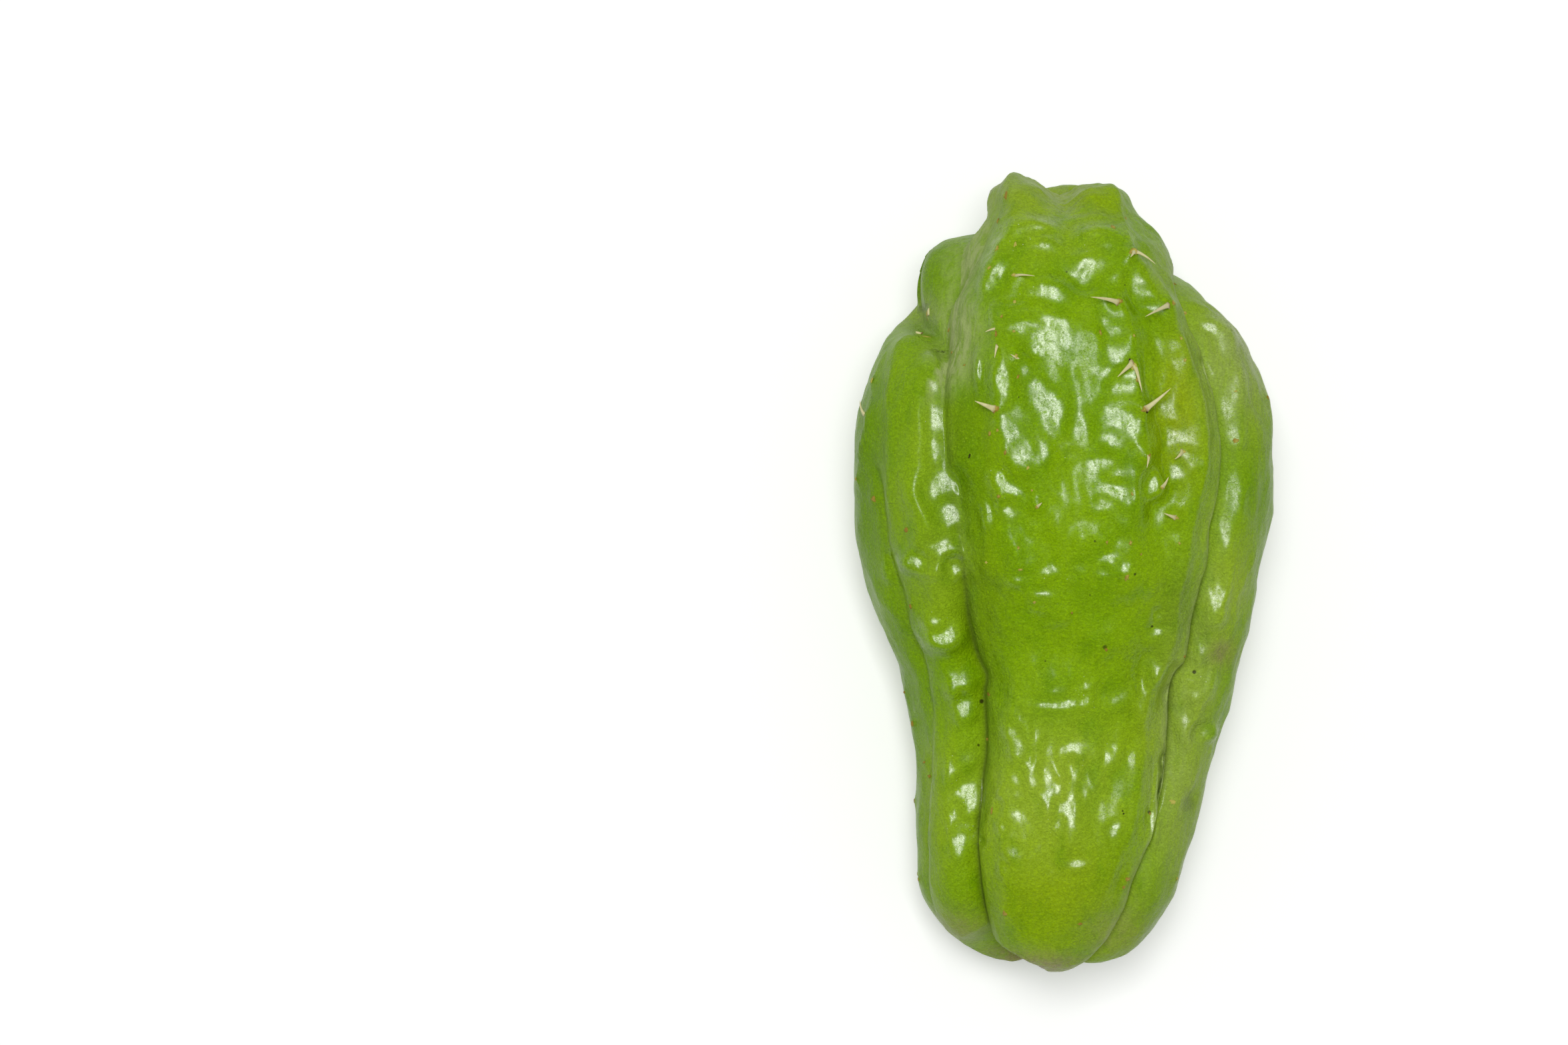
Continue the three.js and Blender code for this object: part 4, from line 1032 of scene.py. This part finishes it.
# The rings of one prickle, which rises from the skin and then bends over towards its tip
def prickleRings(phi, turn, across, along, lift, thick, settled):
    root, normals, _ = skinPoints(phi, turn, facetSpots)
    root = root[0] - (0, 0, settled)
    out = normals[0]
    lean = np.array([across, along, 0.0])
    upwards = np.array([0, 0, 1 / out[2]]) if out[2] > prickles["uprightFrom"] else out
    lean += upwards * (lift - lean @ out)
    bowAlong, bowUp = prickles["bow"]
    rise = root + bowAlong * lean + out * bowUp * lift
    sunk = root - prickles["buried"] * out
    tip = root + lean
    stalkUneven, footUneven = prickles["uneven"]
    angles = 2 * np.pi * np.arange(prickles["sides"]) / prickles["sides"]
    for t in np.arange(prickles["rings"]) / (prickles["rings"] - 1):
        spine = (1 - t) ** 2 * sunk + 2 * t * (1 - t) * rise + t**2 * tip
        forward = 2 * (1 - t) * (rise - root) + 2 * t * (tip - rise) if t > 0 else out
        forward = forward / np.linalg.norm(forward)
        beside = np.cross(forward, out + 0.01 * lean)
        beside = beside / np.linalg.norm(beside)
        above = prickles["flatness"] * np.cross(beside, forward)
        foot = prickles["flare"] * math.exp(-((t / prickles["flareReach"]) ** 2))
        radius = prickles["radius"] * (1 - t) ** prickles["taper"] + foot
        radius = thick * radius + prickles["tipRadius"]
        wavy = 1 + stalkUneven * np.sin(3 * angles + 5 * phi) * (1 - t)
        wavy += footUneven * foot * np.sin(5 * angles + 9 * turn)
        circle = np.cos(angles)[:, None] * beside + np.sin(angles)[:, None] * above
        yield t, spine + (radius * wavy)[:, None] * circle


def makePrickles(material, settled):
    sides = prickles["sides"]
    points, faces, tips = [], [], []
    for spot in prickleSpots:
        first = len(points)
        for t, ring in prickleRings(*spot, settled):
            points.extend(ring)
            tips.extend([t] * sides)
        last = len(points) - sides
        for start in range(first, last, sides):
            for side in range(sides):
                a = start + side
                b = start + (side + 1) % sides
                faces.append((a, b, b + sides, a + sides))
        faces.append(tuple(reversed(range(first, first + sides))))
        faces.append(tuple(range(last, last + sides)))
    makePiece("prickles", np.array(points), faces, {"tip": np.array(tips)}, material)


def makeScabCrust():
    material, wire = newMaterial("scabCrust")
    place = wire.node("TexCoord", give="Object")
    brown = wire.node("Attribute", {"attribute_name": "brown"}, give="Fac")
    crumbs = place.grain(scabs["crumbSize"], roughness=0.65)
    dry = (brown + 0.9 * (crumbs - 0.5)).between(0.15, 0.8)
    bumped = wire.node("Bump", sockets={"Distance": scabs["bump"] * metre, "Height": crumbs})
    finishMaterial(wire, wire.node("BsdfPrincipled", sockets={
        "Base Color": dry.blend(scabs["straw"], scabs["brown"]), "Roughness": 0.6 + 0.2 * crumbs,
        "Specular IOR Level": 0.2, "Normal": bumped}))
    return material


def makeScabs(material, settled):
    sides = scabs["sides"]
    rings = len(scabs["rings"])
    reaches = np.concatenate([[0.0], np.repeat(scabs["rings"], sides)])
    angles = np.concatenate([[0.0], np.tile(2 * np.pi * np.arange(sides) / sides, rings)])
    dome = np.interp(reaches, [0, *scabs["rings"]], scabs["dome"])
    phis, turns, heights, browns, faces = [], [], [], [], []
    for k, (phi, turn, across, along, brown) in enumerate(scabSpots):
        ragged = 1 + chance.uniform(*scabs["ragged"], sides)
        reach = scabs["spread"] * reaches * np.concatenate([[1.0], np.tile(ragged, rings)])
        rim = np.hypot(*(bodyPoints(phi, turn)[[0, 2]] - (0, coreHeight(phi))))
        turns.append(turn + across * reach * np.cos(angles) / rim)
        phis.append(phi - along * reach * np.sin(angles) / (halfLength * max(math.sin(phi), 0.3)))
        lumpy = chance.uniform(-scabs["lumpy"], scabs["lumpy"], len(dome))
        heights.append(scabs["height"] * dome * (1 + lumpy))
        browns.append(np.clip(brown + scabs["rimBrowner"] * (reaches - 0.6), 0, 1))
        first = k * (1 + rings * sides)
        for side in range(sides):
            following = (side + 1) % sides
            faces.append((first, first + 1 + side, first + 1 + following))
            for ring in range(rings - 1):
                a = first + 1 + ring * sides
                faces.append((a + side, a + sides + side, a + sides + following, a + following))
    points, normals, _ = skinPoints(np.concatenate(phis), np.concatenate(turns), facetSpots)
    points += normals * np.concatenate(heights)[:, None]
    points[:, 2] = np.maximum(points[:, 2] - settled, scabs["leastHeight"])
    makePiece("scabs", points, faces, {"brown": np.concatenate(browns)}, material)


settled = makeSkin(makeRind())
makePrickles(makePrickleStraw(), settled)
makeScabs(makeScabCrust(), settled)
